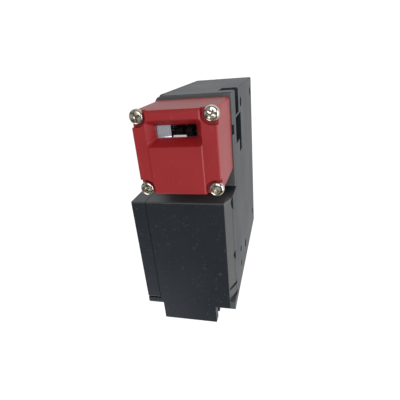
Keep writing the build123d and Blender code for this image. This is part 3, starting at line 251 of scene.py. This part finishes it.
# %% [markdown]
# ## Black case plastic
#
# The case is glass-filled nylon from a steel mould. Seen straight on it is nearly black with a blue tint,
# and seen along the surface it turns grey, because any smooth plastic mirrors more of the room there. That
# grey must not be painted: it comes from the shader. What is painted as wear is what handling leaves, a
# cloudy bloom, fine rubs along the case and a few pale specks. Three places get painted light as well: the
# wall beside the head and the ledge round the head are painted paler where they lie in the head's shade, and
# the block's sloped rear edge gets a painted sheen. Each is picked by its place in the frame, in millimetres.

# %% Case plastic
# Places of the painted light and painted sheen, in millimetres.
SHADED_WALL_LIGHT_X = (-10.0, -10.4)
SHADED_WALL_LIGHT_Z = (74, 82)
REAR_SHEEN_Y = (17.9, 18.3)
REAR_SHEEN_Z = (81.0, 83.4)
LEDGE_LIGHT_CORNERS = ((-52, -10.8, 69.55), (-10.6, 22, 70.6))
PAINTED_LIGHT_GREY = (0.115, 0.118, 0.112)
BLUISH = (0.80, 0.91, 1.0, 1)


def case_plastic():
    finish = Finish("case_plastic")
    bloom = finish.noise(45, 4)
    grain = finish.noise(2600, 3)
    rubs = finish.ramp(finish.noise(260, 6, (3, 3, 0.5)), [(0.62, 0), (0.74, 1)])
    specks = finish.ramp(finish.noise(2300, 1), [(0.765, 0), (0.81, 1)])
    marks = rubs * 0.45 + specks * 0.7
    ground = finish.mix(bloom, (0.0050, 0.0064, 0.0098), (0.0120, 0.0150, 0.0220))
    colour = finish.mix(marks, ground, (0.07, 0.072, 0.074))
    place = finish.node("ShaderNodeSeparateXYZ", None, {"Vector": finish.place})
    # Painted light: the wall beside the head is painted paler where it lies in the head's shade.
    wall_painted_light = finish.rise(place.out("X"), *SHADED_WALL_LIGHT_X) * finish.rise(place.out("Z"), *SHADED_WALL_LIGHT_Z)
    # Painted sheen: the block's sloped rear edge is painted paler, like the grey sheen of the upright sides.
    rear_painted_sheen = finish.rise(place.out("Y"), *REAR_SHEEN_Y) * finish.rise(place.out("Z"), *REAR_SHEEN_Z)
    # Painted light: the ledge round the head is painted paler where it lies in the head's shade.
    ledge_painted_light = finish.within(*LEDGE_LIGHT_CORNERS)
    # The three places are painted paler as light and sheen, a little uneven with the grain.
    painted_light = (wall_painted_light * 0.45 + rear_painted_sheen * 0.65 + ledge_painted_light * 0.65) * (0.75 + grain * 0.5)
    colour = finish.mix(painted_light, colour, PAINTED_LIGHT_GREY)
    height = grain + bloom * 0.6
    return finish.finish({
        "Base Color": colour,
        "Roughness": 0.34 + bloom * 0.18 + rubs * 0.12,
        "Specular Tint": BLUISH,
        "Normal": finish.bump(height, 0.000025),
    })


# %% [markdown]
# ## Red head plastic
#
# The head is a nylon dyed right through. It has a faint orange-peel surface, slow clouds in its red, and
# hair-fine rubs.

# %% Head plastic
def head_plastic():
    finish = Finish("head_plastic")
    cloud = finish.noise(60, 3)
    peel = finish.noise(900, 2)
    rubs = finish.ramp(finish.noise(420, 5, (0.6, 3, 1)), [(0.63, 0), (0.75, 1)])
    ground = finish.mix(cloud, (0.265, 0.009, 0.012), (0.330, 0.013, 0.017))
    return finish.finish({
        "Base Color": finish.mix(rubs * 0.18, ground, (0.46, 0.10, 0.10)),
        "Roughness": 0.36 + cloud * 0.10 + rubs * 0.10,
        "Normal": finish.bump(peel, 0.000018),
    })


# %% [markdown]
# ## Metals
#
# A metal has no colour of its own under its shine, so its Base Color is the tint of its mirror image. What
# tells nickel from a milled plate is how that image is broken up: a turned screw head has fine rings, sheet
# steel has rolling lines, and a cut edge is duller. One helper gives all of them, with the tint, the
# direction of the lines and the tarnish as its arguments. It can also paint a highlight inside a box, as a
# pale colour on a matt, rougher surface: that is the painted highlight on the strip that stops the key.

# %% Metals
LINES_TO_THE_METRE = 1800
# Colour and box of the painted highlight on the strip that stops the key.
HIGHLIGHT_PALE = (0.92, 0.86, 0.84)
STOP_STRIP_HIGHLIGHT_BOX = ((-38.9, 2.1, 90.7), (-36.0, 7.4, 91.8))


def metal(name, tint, tarnish, roughness, lines, highlight_box=None):
    finish = Finish(name)
    streaks = finish.noise(LINES_TO_THE_METRE, 4, lines)
    clouds = finish.noise(220, 4)
    stains = finish.ramp(clouds, [(0.50, 0), (0.72, 1)])
    colour = finish.mix(stains * 0.6, tint, tarnish)
    shine = 1 - stains * 0.15
    blur = roughness + streaks * 0.12 + stains * 0.15
    # Painted highlight: inside the box the colour turns pale, and the metal turns matt and rougher.
    if highlight_box:
        painted_highlight = finish.within(*highlight_box)
        colour = finish.mix(painted_highlight, colour, HIGHLIGHT_PALE)
        shine = shine - painted_highlight * 0.7
        blur = blur + painted_highlight * 0.3
    return finish.finish({
        "Base Color": colour,
        "Metallic": shine,
        "Roughness": blur,
        "Normal": finish.bump(streaks, 0.000006),
    })


# %% [markdown]
# ## Hidden plastics, seals and wire
#
# The inner parts are hardly seen with the cover on, yet the part is used again in cut-away pictures, so each
# gets what its maker would give it: a dull black seal, a pale contact base, a hard dark drum, and enamelled
# wire whose turns show as fine rings.

# %% Inner plastics, seal and wire
def plain_plastic(name, dark, light, roughness, grain_scale=1600):
    finish = Finish(name)
    cloud = finish.noise(120, 3)
    grain = finish.noise(grain_scale, 3)
    return finish.finish({
        "Base Color": finish.mix(cloud, dark, light),
        "Roughness": roughness + grain * 0.12,
        "Normal": finish.bump(grain, 0.00002),
    })


def enamelled_wire():
    finish = Finish("coil_wire")
    cloud = finish.noise(300, 3)
    return finish.finish({
        "Base Color": finish.mix(cloud, (0.42, 0.13, 0.035), (0.56, 0.20, 0.06)),
        "Metallic": 0.85,
        "Roughness": 0.22 + cloud * 0.14,
        "Coat Weight": 0.5,
    })


# %% [markdown]
# ## Which piece gets which finish
#
# Pieces of one real material share one Blender material, so a change of the nickel shows on every screw at
# once. Each piece could be given its own by hand, but a table from a finish to its pieces is read at a
# glance, and a line at its end prints any piece that was forgotten.

# %% Finish of every CAD node
finishes = {
    "case_plastic": case_plastic(),
    "head_plastic": head_plastic(),
    "seal_rubber": plain_plastic("seal_rubber", (0.006, 0.006, 0.007), (0.014, 0.014, 0.015), 0.62, 900),
    "nickel_steel": metal("nickel_steel", (0.66, 0.61, 0.53), (0.30, 0.26, 0.20), 0.10, (1, 1, 1)),
    "bright_steel": metal("bright_steel", (0.66, 0.67, 0.74), (0.30, 0.30, 0.33), 0.20, (0.2, 3, 3),
                          STOP_STRIP_HIGHLIGHT_BOX),
    "insert_brass": metal("insert_brass", (0.72, 0.50, 0.22), (0.42, 0.27, 0.11), 0.26, (1, 1, 6)),
    "drum_plastic": plain_plastic("drum_plastic", (0.020, 0.014, 0.016), (0.055, 0.038, 0.042), 0.34),
    "contact_plastic": plain_plastic("contact_plastic", (0.44, 0.39, 0.29), (0.52, 0.47, 0.36), 0.45),
    "contact_metal": metal("contact_metal", (0.80, 0.74, 0.60), (0.52, 0.42, 0.26), 0.28, (1, 3, 3)),
    "coil_wire": enamelled_wire(),
    "yoke_steel": metal("yoke_steel", (0.52, 0.53, 0.53), (0.33, 0.33, 0.33), 0.34, (3, 3, 0.2)),
}

node_slots = {
    "case_plastic": ["housing", "front_cover", "blanking_plug"],
    "head_plastic": ["head"],
    "seal_rubber": ["cover_gasket", "head_gasket"],
    "nickel_steel": ["cover_screws", "head_screws", "terminal_screws", "solenoid_screws", "earth_screw"],
    "bright_steel": ["cam_frame", "cam_shaft", "plunger", "plunger_spring", "lock_spring", "armature_pin",
                     "lever_pin", "lock_lever", "lock_bar"],
    "insert_brass": ["head_inserts", "plunger_bush"],
    "drum_plastic": ["cam_drum", "bobbin", "contact_carrier"],
    "contact_plastic": ["contact_block"],
    "contact_metal": ["contact_bridges", "fixed_contacts"],
    "coil_wire": ["coil"],
    "yoke_steel": ["solenoid_frame", "fixed_core", "armature"],
}
for slot_name, names in node_slots.items():
    for name in names:
        nodes[name].data.materials.clear()
        nodes[name].data.materials.append(finishes[slot_name])
print("nodes without a finish:", sorted(set(nodes) - {n for names in node_slots.values() for n in names}))


# %% [markdown]
# ## Working by hand, in code
#
# The next pieces are modelled as one would at the screen: add a primitive, go into edit mode, pick faces,
# extrude and bevel them. Picking is the only thing that needs code, so one helper selects the faces that a
# test accepts, and another finishes a piece: its place goes into its mesh, and it rides on its body.

# %% Helpers for modelling
def pick(piece, kind, test):
    """Selects the faces, edges or vertices of a piece, in edit mode, that pass a test."""
    mesh = bmesh.from_edit_mesh(piece.data)
    bpy.context.tool_settings.mesh_select_mode = (kind == "verts", kind == "edges", kind == "faces")
    for part in (mesh.faces, mesh.edges, mesh.verts):
        for element in part:
            element.select = False
    found = [element for element in getattr(mesh, kind) if test(element)]
    for element in found:
        element.select_set(True)
    bmesh.update_edit_mesh(piece.data)


def turned(name, outline, steps):
    """Piece turned on a lathe round the Z axis, from points that give radius and height in millimetres."""
    bpy.ops.mesh.primitive_plane_add(size=MM)
    piece = bpy.context.object
    piece.name = name
    bpy.context.tool_settings.mesh_select_mode = (True, False, False)
    bpy.ops.object.mode_set(mode="EDIT")
    bpy.ops.mesh.select_all(action="SELECT")
    bpy.ops.mesh.merge(type="CENTER")
    radius, height = outline[0]
    bpy.ops.transform.translate(value=(radius * MM, 0, height * MM))
    for (radius, height), (wider, higher) in zip(outline, outline[1:]):
        step = ((wider - radius) * MM, 0, (higher - height) * MM)
        bpy.ops.mesh.extrude_region_move(TRANSFORM_OT_translate={"value": step})
    bpy.ops.mesh.select_all(action="SELECT")
    bpy.ops.mesh.spin(steps=steps, angle=math.tau, center=(0, 0, 0), axis=(0, 0, 1))
    bpy.ops.mesh.select_all(action="SELECT")
    bpy.ops.mesh.remove_doubles(threshold=0.002 * MM)
    bpy.ops.mesh.normals_make_consistent(inside=False)
    bpy.ops.object.mode_set(mode="OBJECT")
    return piece


def copy_to(piece, name, place, rotation):
    """Copy of a piece, with its own mesh, turned and moved to a place."""
    bpy.ops.object.select_all(action="DESELECT")
    piece.select_set(True)
    bpy.context.view_layer.objects.active = piece
    bpy.ops.object.duplicate()
    made = bpy.context.object
    made.name = name
    made.rotation_euler = rotation
    made.location = place
    bpy.ops.object.transform_apply(location=True, rotation=True, scale=True)
    return made


def join(pieces, name):
    """Several copies as one piece."""
    bpy.ops.object.select_all(action="DESELECT")
    for piece in pieces:
        piece.select_set(True)
    bpy.context.view_layer.objects.active = pieces[0]
    bpy.ops.object.join()
    bpy.context.object.name = name
    return bpy.context.object


def merged_copy(node, name):
    """Copy of a CAD node, free of its body, whose loose triangles are joined."""
    bpy.ops.object.select_all(action="DESELECT")
    nodes[node].select_set(True)
    bpy.context.view_layer.objects.active = nodes[node]
    bpy.ops.object.duplicate()
    bpy.ops.object.parent_clear(type="CLEAR_KEEP_TRANSFORM")
    piece = bpy.context.object
    piece.name = name
    bpy.ops.object.mode_set(mode="EDIT")
    bpy.ops.mesh.select_all(action="SELECT")
    bpy.ops.mesh.remove_doubles(threshold=0.001 * MM)
    bpy.ops.mesh.dissolve_limited(angle_limit=math.radians(0.5))
    bpy.ops.object.mode_set(mode="OBJECT")
    return piece


def settle(piece, body, slot_name, angle=30, reach=None):
    """Shading and finish for a piece, which then rides on its body, or, with a reach, only has its place
    baked in.
    """
    bpy.ops.object.select_all(action="DESELECT")
    piece.select_set(True)
    bpy.context.view_layer.objects.active = piece
    bpy.ops.object.shade_smooth_by_angle(angle=math.radians(angle))
    piece.data.materials.clear()
    piece.data.materials.append(finishes[slot_name])
    if reach:
        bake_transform(piece)
    else:
        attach(piece, body)
    print(piece.name, "faces:", len(piece.data.polygons))


def solids_of(node):
    """Lowest and highest corner of each separate solid of a CAD node."""
    mesh = bmesh.new()
    mesh.from_mesh(nodes[node].data)
    bmesh.ops.remove_doubles(mesh, verts=mesh.verts, dist=0.001 * MM)
    left = set(mesh.verts)
    boxes = []
    while left:
        reached = {left.pop()}
        edge = list(reached)
        while edge:
            near = {e.other_vert(v) for v in edge for e in v.link_edges} - reached
            reached |= near
            edge = list(near)
        left -= reached
        boxes.append([Vector([f(v.co[i] for v in reached) for i in range(3)]) for f in (min, max)])
    mesh.free()
    return sorted(boxes, key=lambda b: tuple(b[0]))


# %% [markdown]
# ## Screws
#
# The head is held by four pan-head screws, and their domed heads stand out at the corners of the picture.
# A cylinder would do as a stand-in, but the real head has a flat bearing face, a rounded shoulder, a low
# crown and a cross recess whose arms taper downwards. The outline is turned on the lathe, and the recess is
# cut with a small tool that is itself modelled from a cube.

# %% A cross-recess screw
ARM_TAPER = 0.8
BROKEN_EDGE = 0.15
CROWN_DEGREES = (15, 30, 45, 60, 75)


def cross_tool(reach, width, depth, top):
    """Tapered cross that cuts the recess of a screw head, with its open end at a height."""
    bpy.ops.mesh.primitive_cube_add(size=width * MM, location=(0, 0, top * MM))
    tool = bpy.context.object
    bpy.ops.object.transform_apply(location=True)
    bpy.ops.object.mode_set(mode="EDIT")
    pick(tool, "faces", lambda f: abs(f.normal.z) < 0.5)
    bpy.ops.mesh.extrude_faces_move(TRANSFORM_OT_shrink_fatten={"value": (reach - width / 2) * MM})
    pick(tool, "faces", lambda f: f.normal.z < -0.5)
    bpy.ops.transform.translate(value=(0, 0, (width / 2 - depth) * MM))
    bpy.ops.transform.resize(value=(ARM_TAPER, ARM_TAPER, 1), center_override=(0, 0, (top - depth) * MM))
    pick(tool, "faces", lambda f: f.normal.z > 0.5)
    bpy.ops.transform.translate(value=(0, 0, depth * MM))
    bpy.ops.object.mode_set(mode="OBJECT")
    return tool


def pan_head_screw(name, head_radius, head_height, shank_radius, shank_length, reach, width, depth):
    """Screw along Z with its bearing face at height zero."""
    pitch = shank_radius * 0.36
    root = shank_radius * 0.80
    point = root * 0.7
    shoulder = head_height * 0.45
    crown = head_height * 0.93
    crown_inset = head_radius * 0.38
    outline = [(0, -shank_length), (point, -shank_length)]
    height = -shank_length + pitch / 2
    while height < -pitch:
        outline += [(root, height), (shank_radius, height + pitch / 2)]
        height += pitch
    outline += [(root, height), (root, 0), (head_radius - BROKEN_EDGE, 0), (head_radius, BROKEN_EDGE)]
    outline.append((head_radius, shoulder))
    for degrees in CROWN_DEGREES:
        turn = math.radians(degrees)
        outline.append((head_radius - crown_inset * (1 - math.cos(turn)),
                        shoulder + (crown - shoulder) * math.sin(turn)))
    outline += [(head_radius * 0.35, head_height), (0, head_height)]
    screw = turned(name, outline, 40)
    tool = cross_tool(reach, width, depth, head_height)
    cut = screw.modifiers.new("recess", "BOOLEAN")
    cut.operation = "DIFFERENCE"
    cut.object = tool
    bpy.ops.object.select_all(action="DESELECT")
    bpy.context.view_layer.objects.active = screw
    bpy.ops.object.modifier_apply(modifier=cut.name)
    bpy.data.objects.remove(tool)
    return screw


def screw_set(pattern, node, name, put):
    """Copies of a screw at every solid of a node. The last argument gives each its place and turn."""
    copies = []
    for index, (low, high) in enumerate(solids_of(node)):
        place, rotation = put(index, low, high)
        copies.append(copy_to(pattern, f"{name}_{index}", place, rotation))
    bpy.data.objects.remove(pattern)
    made = join(copies, name)
    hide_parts(node)
    settle(made, "case", "nickel_steel")


# %% [markdown]
# ## Soft edges
#
# No moulded part has a knife edge: the mould's own corners are rounded, and that thin round catches a line of
# light which tells the eye that the thing is plastic. The CAD faces are kept as they are. A copy is merged
# and cleaned, and a Bevel modifier rounds only those edges that turn by more than a limit. Weighted normals
# then keep the large faces flat, so that all of the shading's turn falls on the narrow rounds.

# %% Moulded copies
SOFT_EDGE = 0.25
ROUNDED_FROM_DEGREES = 32


def moulded(node, name, slot_name):
    """Copy of a CAD node whose sharp edges are rounded, as a mould leaves them."""
    piece = merged_copy(node, name)
    soft = piece.modifiers.new("soft_edges", "BEVEL")
    soft.width = SOFT_EDGE * MM
    soft.segments = 3
    soft.limit_method = "ANGLE"
    soft.angle_limit = math.radians(ROUNDED_FROM_DEGREES)
    bpy.ops.object.modifier_apply(modifier=soft.name)
    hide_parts(node)
    settle(piece, "case", slot_name)
    flat = piece.modifiers.new("flat_faces", "WEIGHTED_NORMAL")
    flat.keep_sharp = True
    bpy.ops.object.modifier_apply(modifier=flat.name)


moulded("head", "head_moulded", "head_plastic")

# %% [markdown]
# ## The screws of the head and the cover
#
# Both sets are one kind of screw in two sizes, so the helper is called with other measures and a copy is put
# at every solid of the CAD node. No two real screws stop at the same angle, and equal crosses would look
# stamped, so each copy is turned a little further than the last.

# %% Head screws
HEAD_SCREW_HEIGHT = 2.0
pattern = pan_head_screw("head_screw_pattern", head_radius=2.65, head_height=HEAD_SCREW_HEIGHT,
                         shank_radius=1.4, shank_length=28.0, reach=1.85, width=0.8, depth=1.6)


def upright(index, low, high):
    """Head up, each screw stopped at its own angle."""
    middle = (low + high) / 2
    return (middle.x, middle.y, high.z - HEAD_SCREW_HEIGHT * MM), (0, 0, 0.3 + 0.7 * index)


screw_set(pattern, "head_screws", "head_screws_turned", upright)

# %% Cover screws
COVER_SCREW_HEIGHT = 1.6
pattern = pan_head_screw("cover_screw_pattern", head_radius=2.5, head_height=COVER_SCREW_HEIGHT,
                         shank_radius=1.25, shank_length=8.8, reach=1.35, width=0.56, depth=1.0)


def facing_out(index, low, high):
    """Head towards -Y. The turn round the screw's own axis becomes one round Y."""
    middle = (low + high) / 2
    return (middle.x, low.y + COVER_SCREW_HEIGHT * MM, middle.z), (math.pi / 2, 0.2 + 0.9 * index, 0)


screw_set(pattern, "cover_screws", "cover_screws_turned", facing_out)

# %% [markdown]
# ## The winding
#
# The coil is one long wire, and what is seen of it is a column of rounded turns side by side. A real helix
# would be thousands of faces for no gain, so the sleeve's outer line gets one small arc for each turn, and
# the lathe does the rest.

# %% Coil winding
coil_low, coil_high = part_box("coil")
TURNS = 34
SLEEVE = 1.3
outer = (coil_high.x - coil_low.x) / 2 / MM
length = (coil_high.z - coil_low.z) / MM
wire = length / TURNS
outline = [(outer - SLEEVE, 0), (outer - wire / 2, 0)]
for turn in range(TURNS):
    for share, rise in ((0.2, 0.7), (0.5, 1.0), (0.8, 0.7), (1.0, 0.0)):
        outline.append((outer - wire / 2 * (1 - rise), (turn + share) * wire))
outline += [(outer - SLEEVE, length), (outer - SLEEVE, 0)]
winding = turned("coil_winding", outline, 56)
winding.location = ((coil_low.x + coil_high.x) / 2, (coil_low.y + coil_high.y) / 2, coil_low.z)
bpy.ops.object.transform_apply(location=True)
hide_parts("coil")
settle(winding, "case", "coil_wire", 60)

# %% [markdown]
# ## The conduit thread
#
# The CAD bore of the side hub is plain, because a fine thread costs thousands of faces and carries nothing
# in a drawing. Seen from the hub's side the thread is the first thing in the picture, so its turns are
# made on the lathe, as rings that no eye tells from a helix, and are laid in the bore's wall. The record
# says where the bore is.

# %% Conduit thread
THREAD_PITCH = 1.5
THREAD_TURNS = 7
THREAD_DEPTH = 0.55
THREAD_SEAT = 0.1
THREAD_INSET = 1.2
entry = next(mount for mount in frame["record"]["mounts"] if mount["name"] == "conduit_entry")
root = entry["dims"]["r_mm"] + THREAD_SEAT
crest = entry["dims"]["r_mm"] - THREAD_DEPTH
outline = [(root + THREAD_SEAT, 0), (root, 0)]
for turn in range(THREAD_TURNS):
    for share, radius in ((0.42, crest), (0.58, crest), (1.0, root)):
        outline.append((radius, (turn + share) * THREAD_PITCH))
outline += [(root + THREAD_SEAT, THREAD_TURNS * THREAD_PITCH), (root + THREAD_SEAT, 0)]
thread = turned("conduit_thread", outline, 72)
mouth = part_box("housing")[1].x
thread_end = mouth - (THREAD_INSET + THREAD_TURNS * THREAD_PITCH) * MM
thread.location = (thread_end, entry["pos_m"][1], entry["pos_m"][2])
thread.rotation_euler = (0, math.pi / 2, 0)
bpy.ops.object.transform_apply(location=True, rotation=True)
settle(thread, "case", "case_plastic")

# %% [markdown]
# ## The springs
#
# A spring belongs to two bodies: its foot stands on the case, and its other end moves with the plunger or
# the armature. A rigid copy would be pushed through its seat. Here each spring is a merged copy of its CAD
# node whose place is baked into its mesh; it is hung on neither body, so it does not shorten.

# %% Springs
for node, body in (("plunger_spring", "plunger_group"), ("lock_spring", "armature_group")):
    foot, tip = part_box(node)
    spring = merged_copy(node, f"{node}_coil")
    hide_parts(node)
    settle(spring, "case", "bright_steel", 40, (body, (0, 0, foot.z), (0, 0, tip.z)))

# %% [markdown]
# ## Floor and light
#
# The photo has a white ground all round. It does two things: it is the background, and it is what the sides
# of the case mirror where they are seen at a shallow angle. So the floor is near white, and it glows in
# mirror rays too, at three quarters of white. The world has bright and dark patches for mirror rays
# only, like the windows of a room, which give the nickel screws something to show. The lamps are large and
# soft, and stand away from the line on which the flat top faces would mirror them.

# %% Floor
FLOOR_RADIUS = 4
FLOOR_LEVEL = -0.3 * MM
bpy.ops.mesh.primitive_circle_add(vertices=96, radius=FLOOR_RADIUS, fill_type="NGON",
                                  location=(0, 0, FLOOR_LEVEL))
floor = bpy.context.object
floor.name = "floor"
bpy.ops.object.transform_apply(location=True)
floor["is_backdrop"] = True
paper = Finish("white_paper")
tone = paper.noise(900, 3)
white = paper.mix(tone, (0.90, 0.90, 0.90), (0.94, 0.94, 0.94))
sheet = paper.node("ShaderNodeBsdfDiffuse", None, {"Color": white})
rays = paper.node("ShaderNodeLightPath")
glow = paper.node("ShaderNodeEmission", None, {"Strength": rays.out("Is Camera Ray") * 0.35 + 0.75})
seen = rays.out("Is Camera Ray") * 0.95 + rays.out("Is Glossy Ray") * 0.90
blend = paper.node("ShaderNodeMixShader", None, {0: seen, 1: sheet.out(), 2: glow.out()})
paper.node("ShaderNodeOutputMaterial", None, {"Surface": blend.out()})
floor.data.materials.append(paper.material)
print("floor shader nodes:", len(paper.tree.nodes))

# %% World
world = bpy.data.worlds.new("white_room")
world.use_nodes = True
bpy.context.scene.world = world
room = world.node_tree
room.nodes.clear()
ray = room.nodes.new("ShaderNodeLightPath")
end = room.nodes.new("ShaderNodeOutputWorld")
around = room.nodes.new("ShaderNodeTexCoord")
windows = room.nodes.new("ShaderNodeTexNoise")
windows.inputs["Scale"].default_value = 2.6
windows.inputs["Detail"].default_value = 0.0
panes = room.nodes.new("ShaderNodeMapRange")
for key, value in (("From Min", 0.50), ("From Max", 0.56), ("To Min", 0.04), ("To Max", 0.42)):
    panes.inputs[key].default_value = value
room.links.new(around.outputs["Object"], windows.inputs["Vector"])
room.links.new(windows.outputs[0], panes.inputs["Value"])
shade = None
for output, strength in ((None, 0.45), ("Is Glossy Ray", panes), ("Is Camera Ray", 1.0)):
    sky = room.nodes.new("ShaderNodeBackground")
    sky.inputs["Color"].default_value = (1, 1, 1, 1)
    if strength is panes:
        room.links.new(panes.outputs[0], sky.inputs["Strength"])
    else:
        sky.inputs["Strength"].default_value = strength
    if output:
        either = room.nodes.new("ShaderNodeMixShader")
        room.links.new(ray.outputs[output], either.inputs[0])
        room.links.new(shade, either.inputs[1])
        room.links.new(sky.outputs[0], either.inputs[2])
        shade = either.outputs[0]
    else:
        shade = sky.outputs[0]
room.links.new(shade, end.inputs["Surface"])
print("world shader nodes:", len(room.nodes))


# %% Lamps
def lamp(name, place, size, power):
    """Square soft box that faces the object's middle, with place and size in metres and power in watts."""
    bpy.ops.object.light_add(type="AREA", location=place)
    light = bpy.context.object
    light.name = name
    light.data.size = size
    light.data.energy = power
    middle = (cad_low + cad_high) / 2
    light.rotation_euler = (middle - light.location).to_track_quat("-Z", "Y").to_euler()
    print(name, "watts:", power)


lamp("key_lamp", (-0.35, 0.10, 0.90), 0.5, 3.0)
lamp("side_lamp", (0.10, 0.90, 0.50), 0.9, 6.5)
lamp("low_lamp", (0.8, -0.5, 0.35), 0.4, 2.0)

# %% [markdown]
# ## The last look at the size
#
# A visual piece may be rounder than its solid, but the object must not grow. So the box round the CAD solids
# and the box round the finished pieces are written down side by side, and the difference is printed.

# %% Compare the sizes and finish
low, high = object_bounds()
growth = [round((a - b) / MM, 2) for a, b in zip((*high, *cad_low), (*cad_high, *low))]
print("visual box grows by mm:", growth)
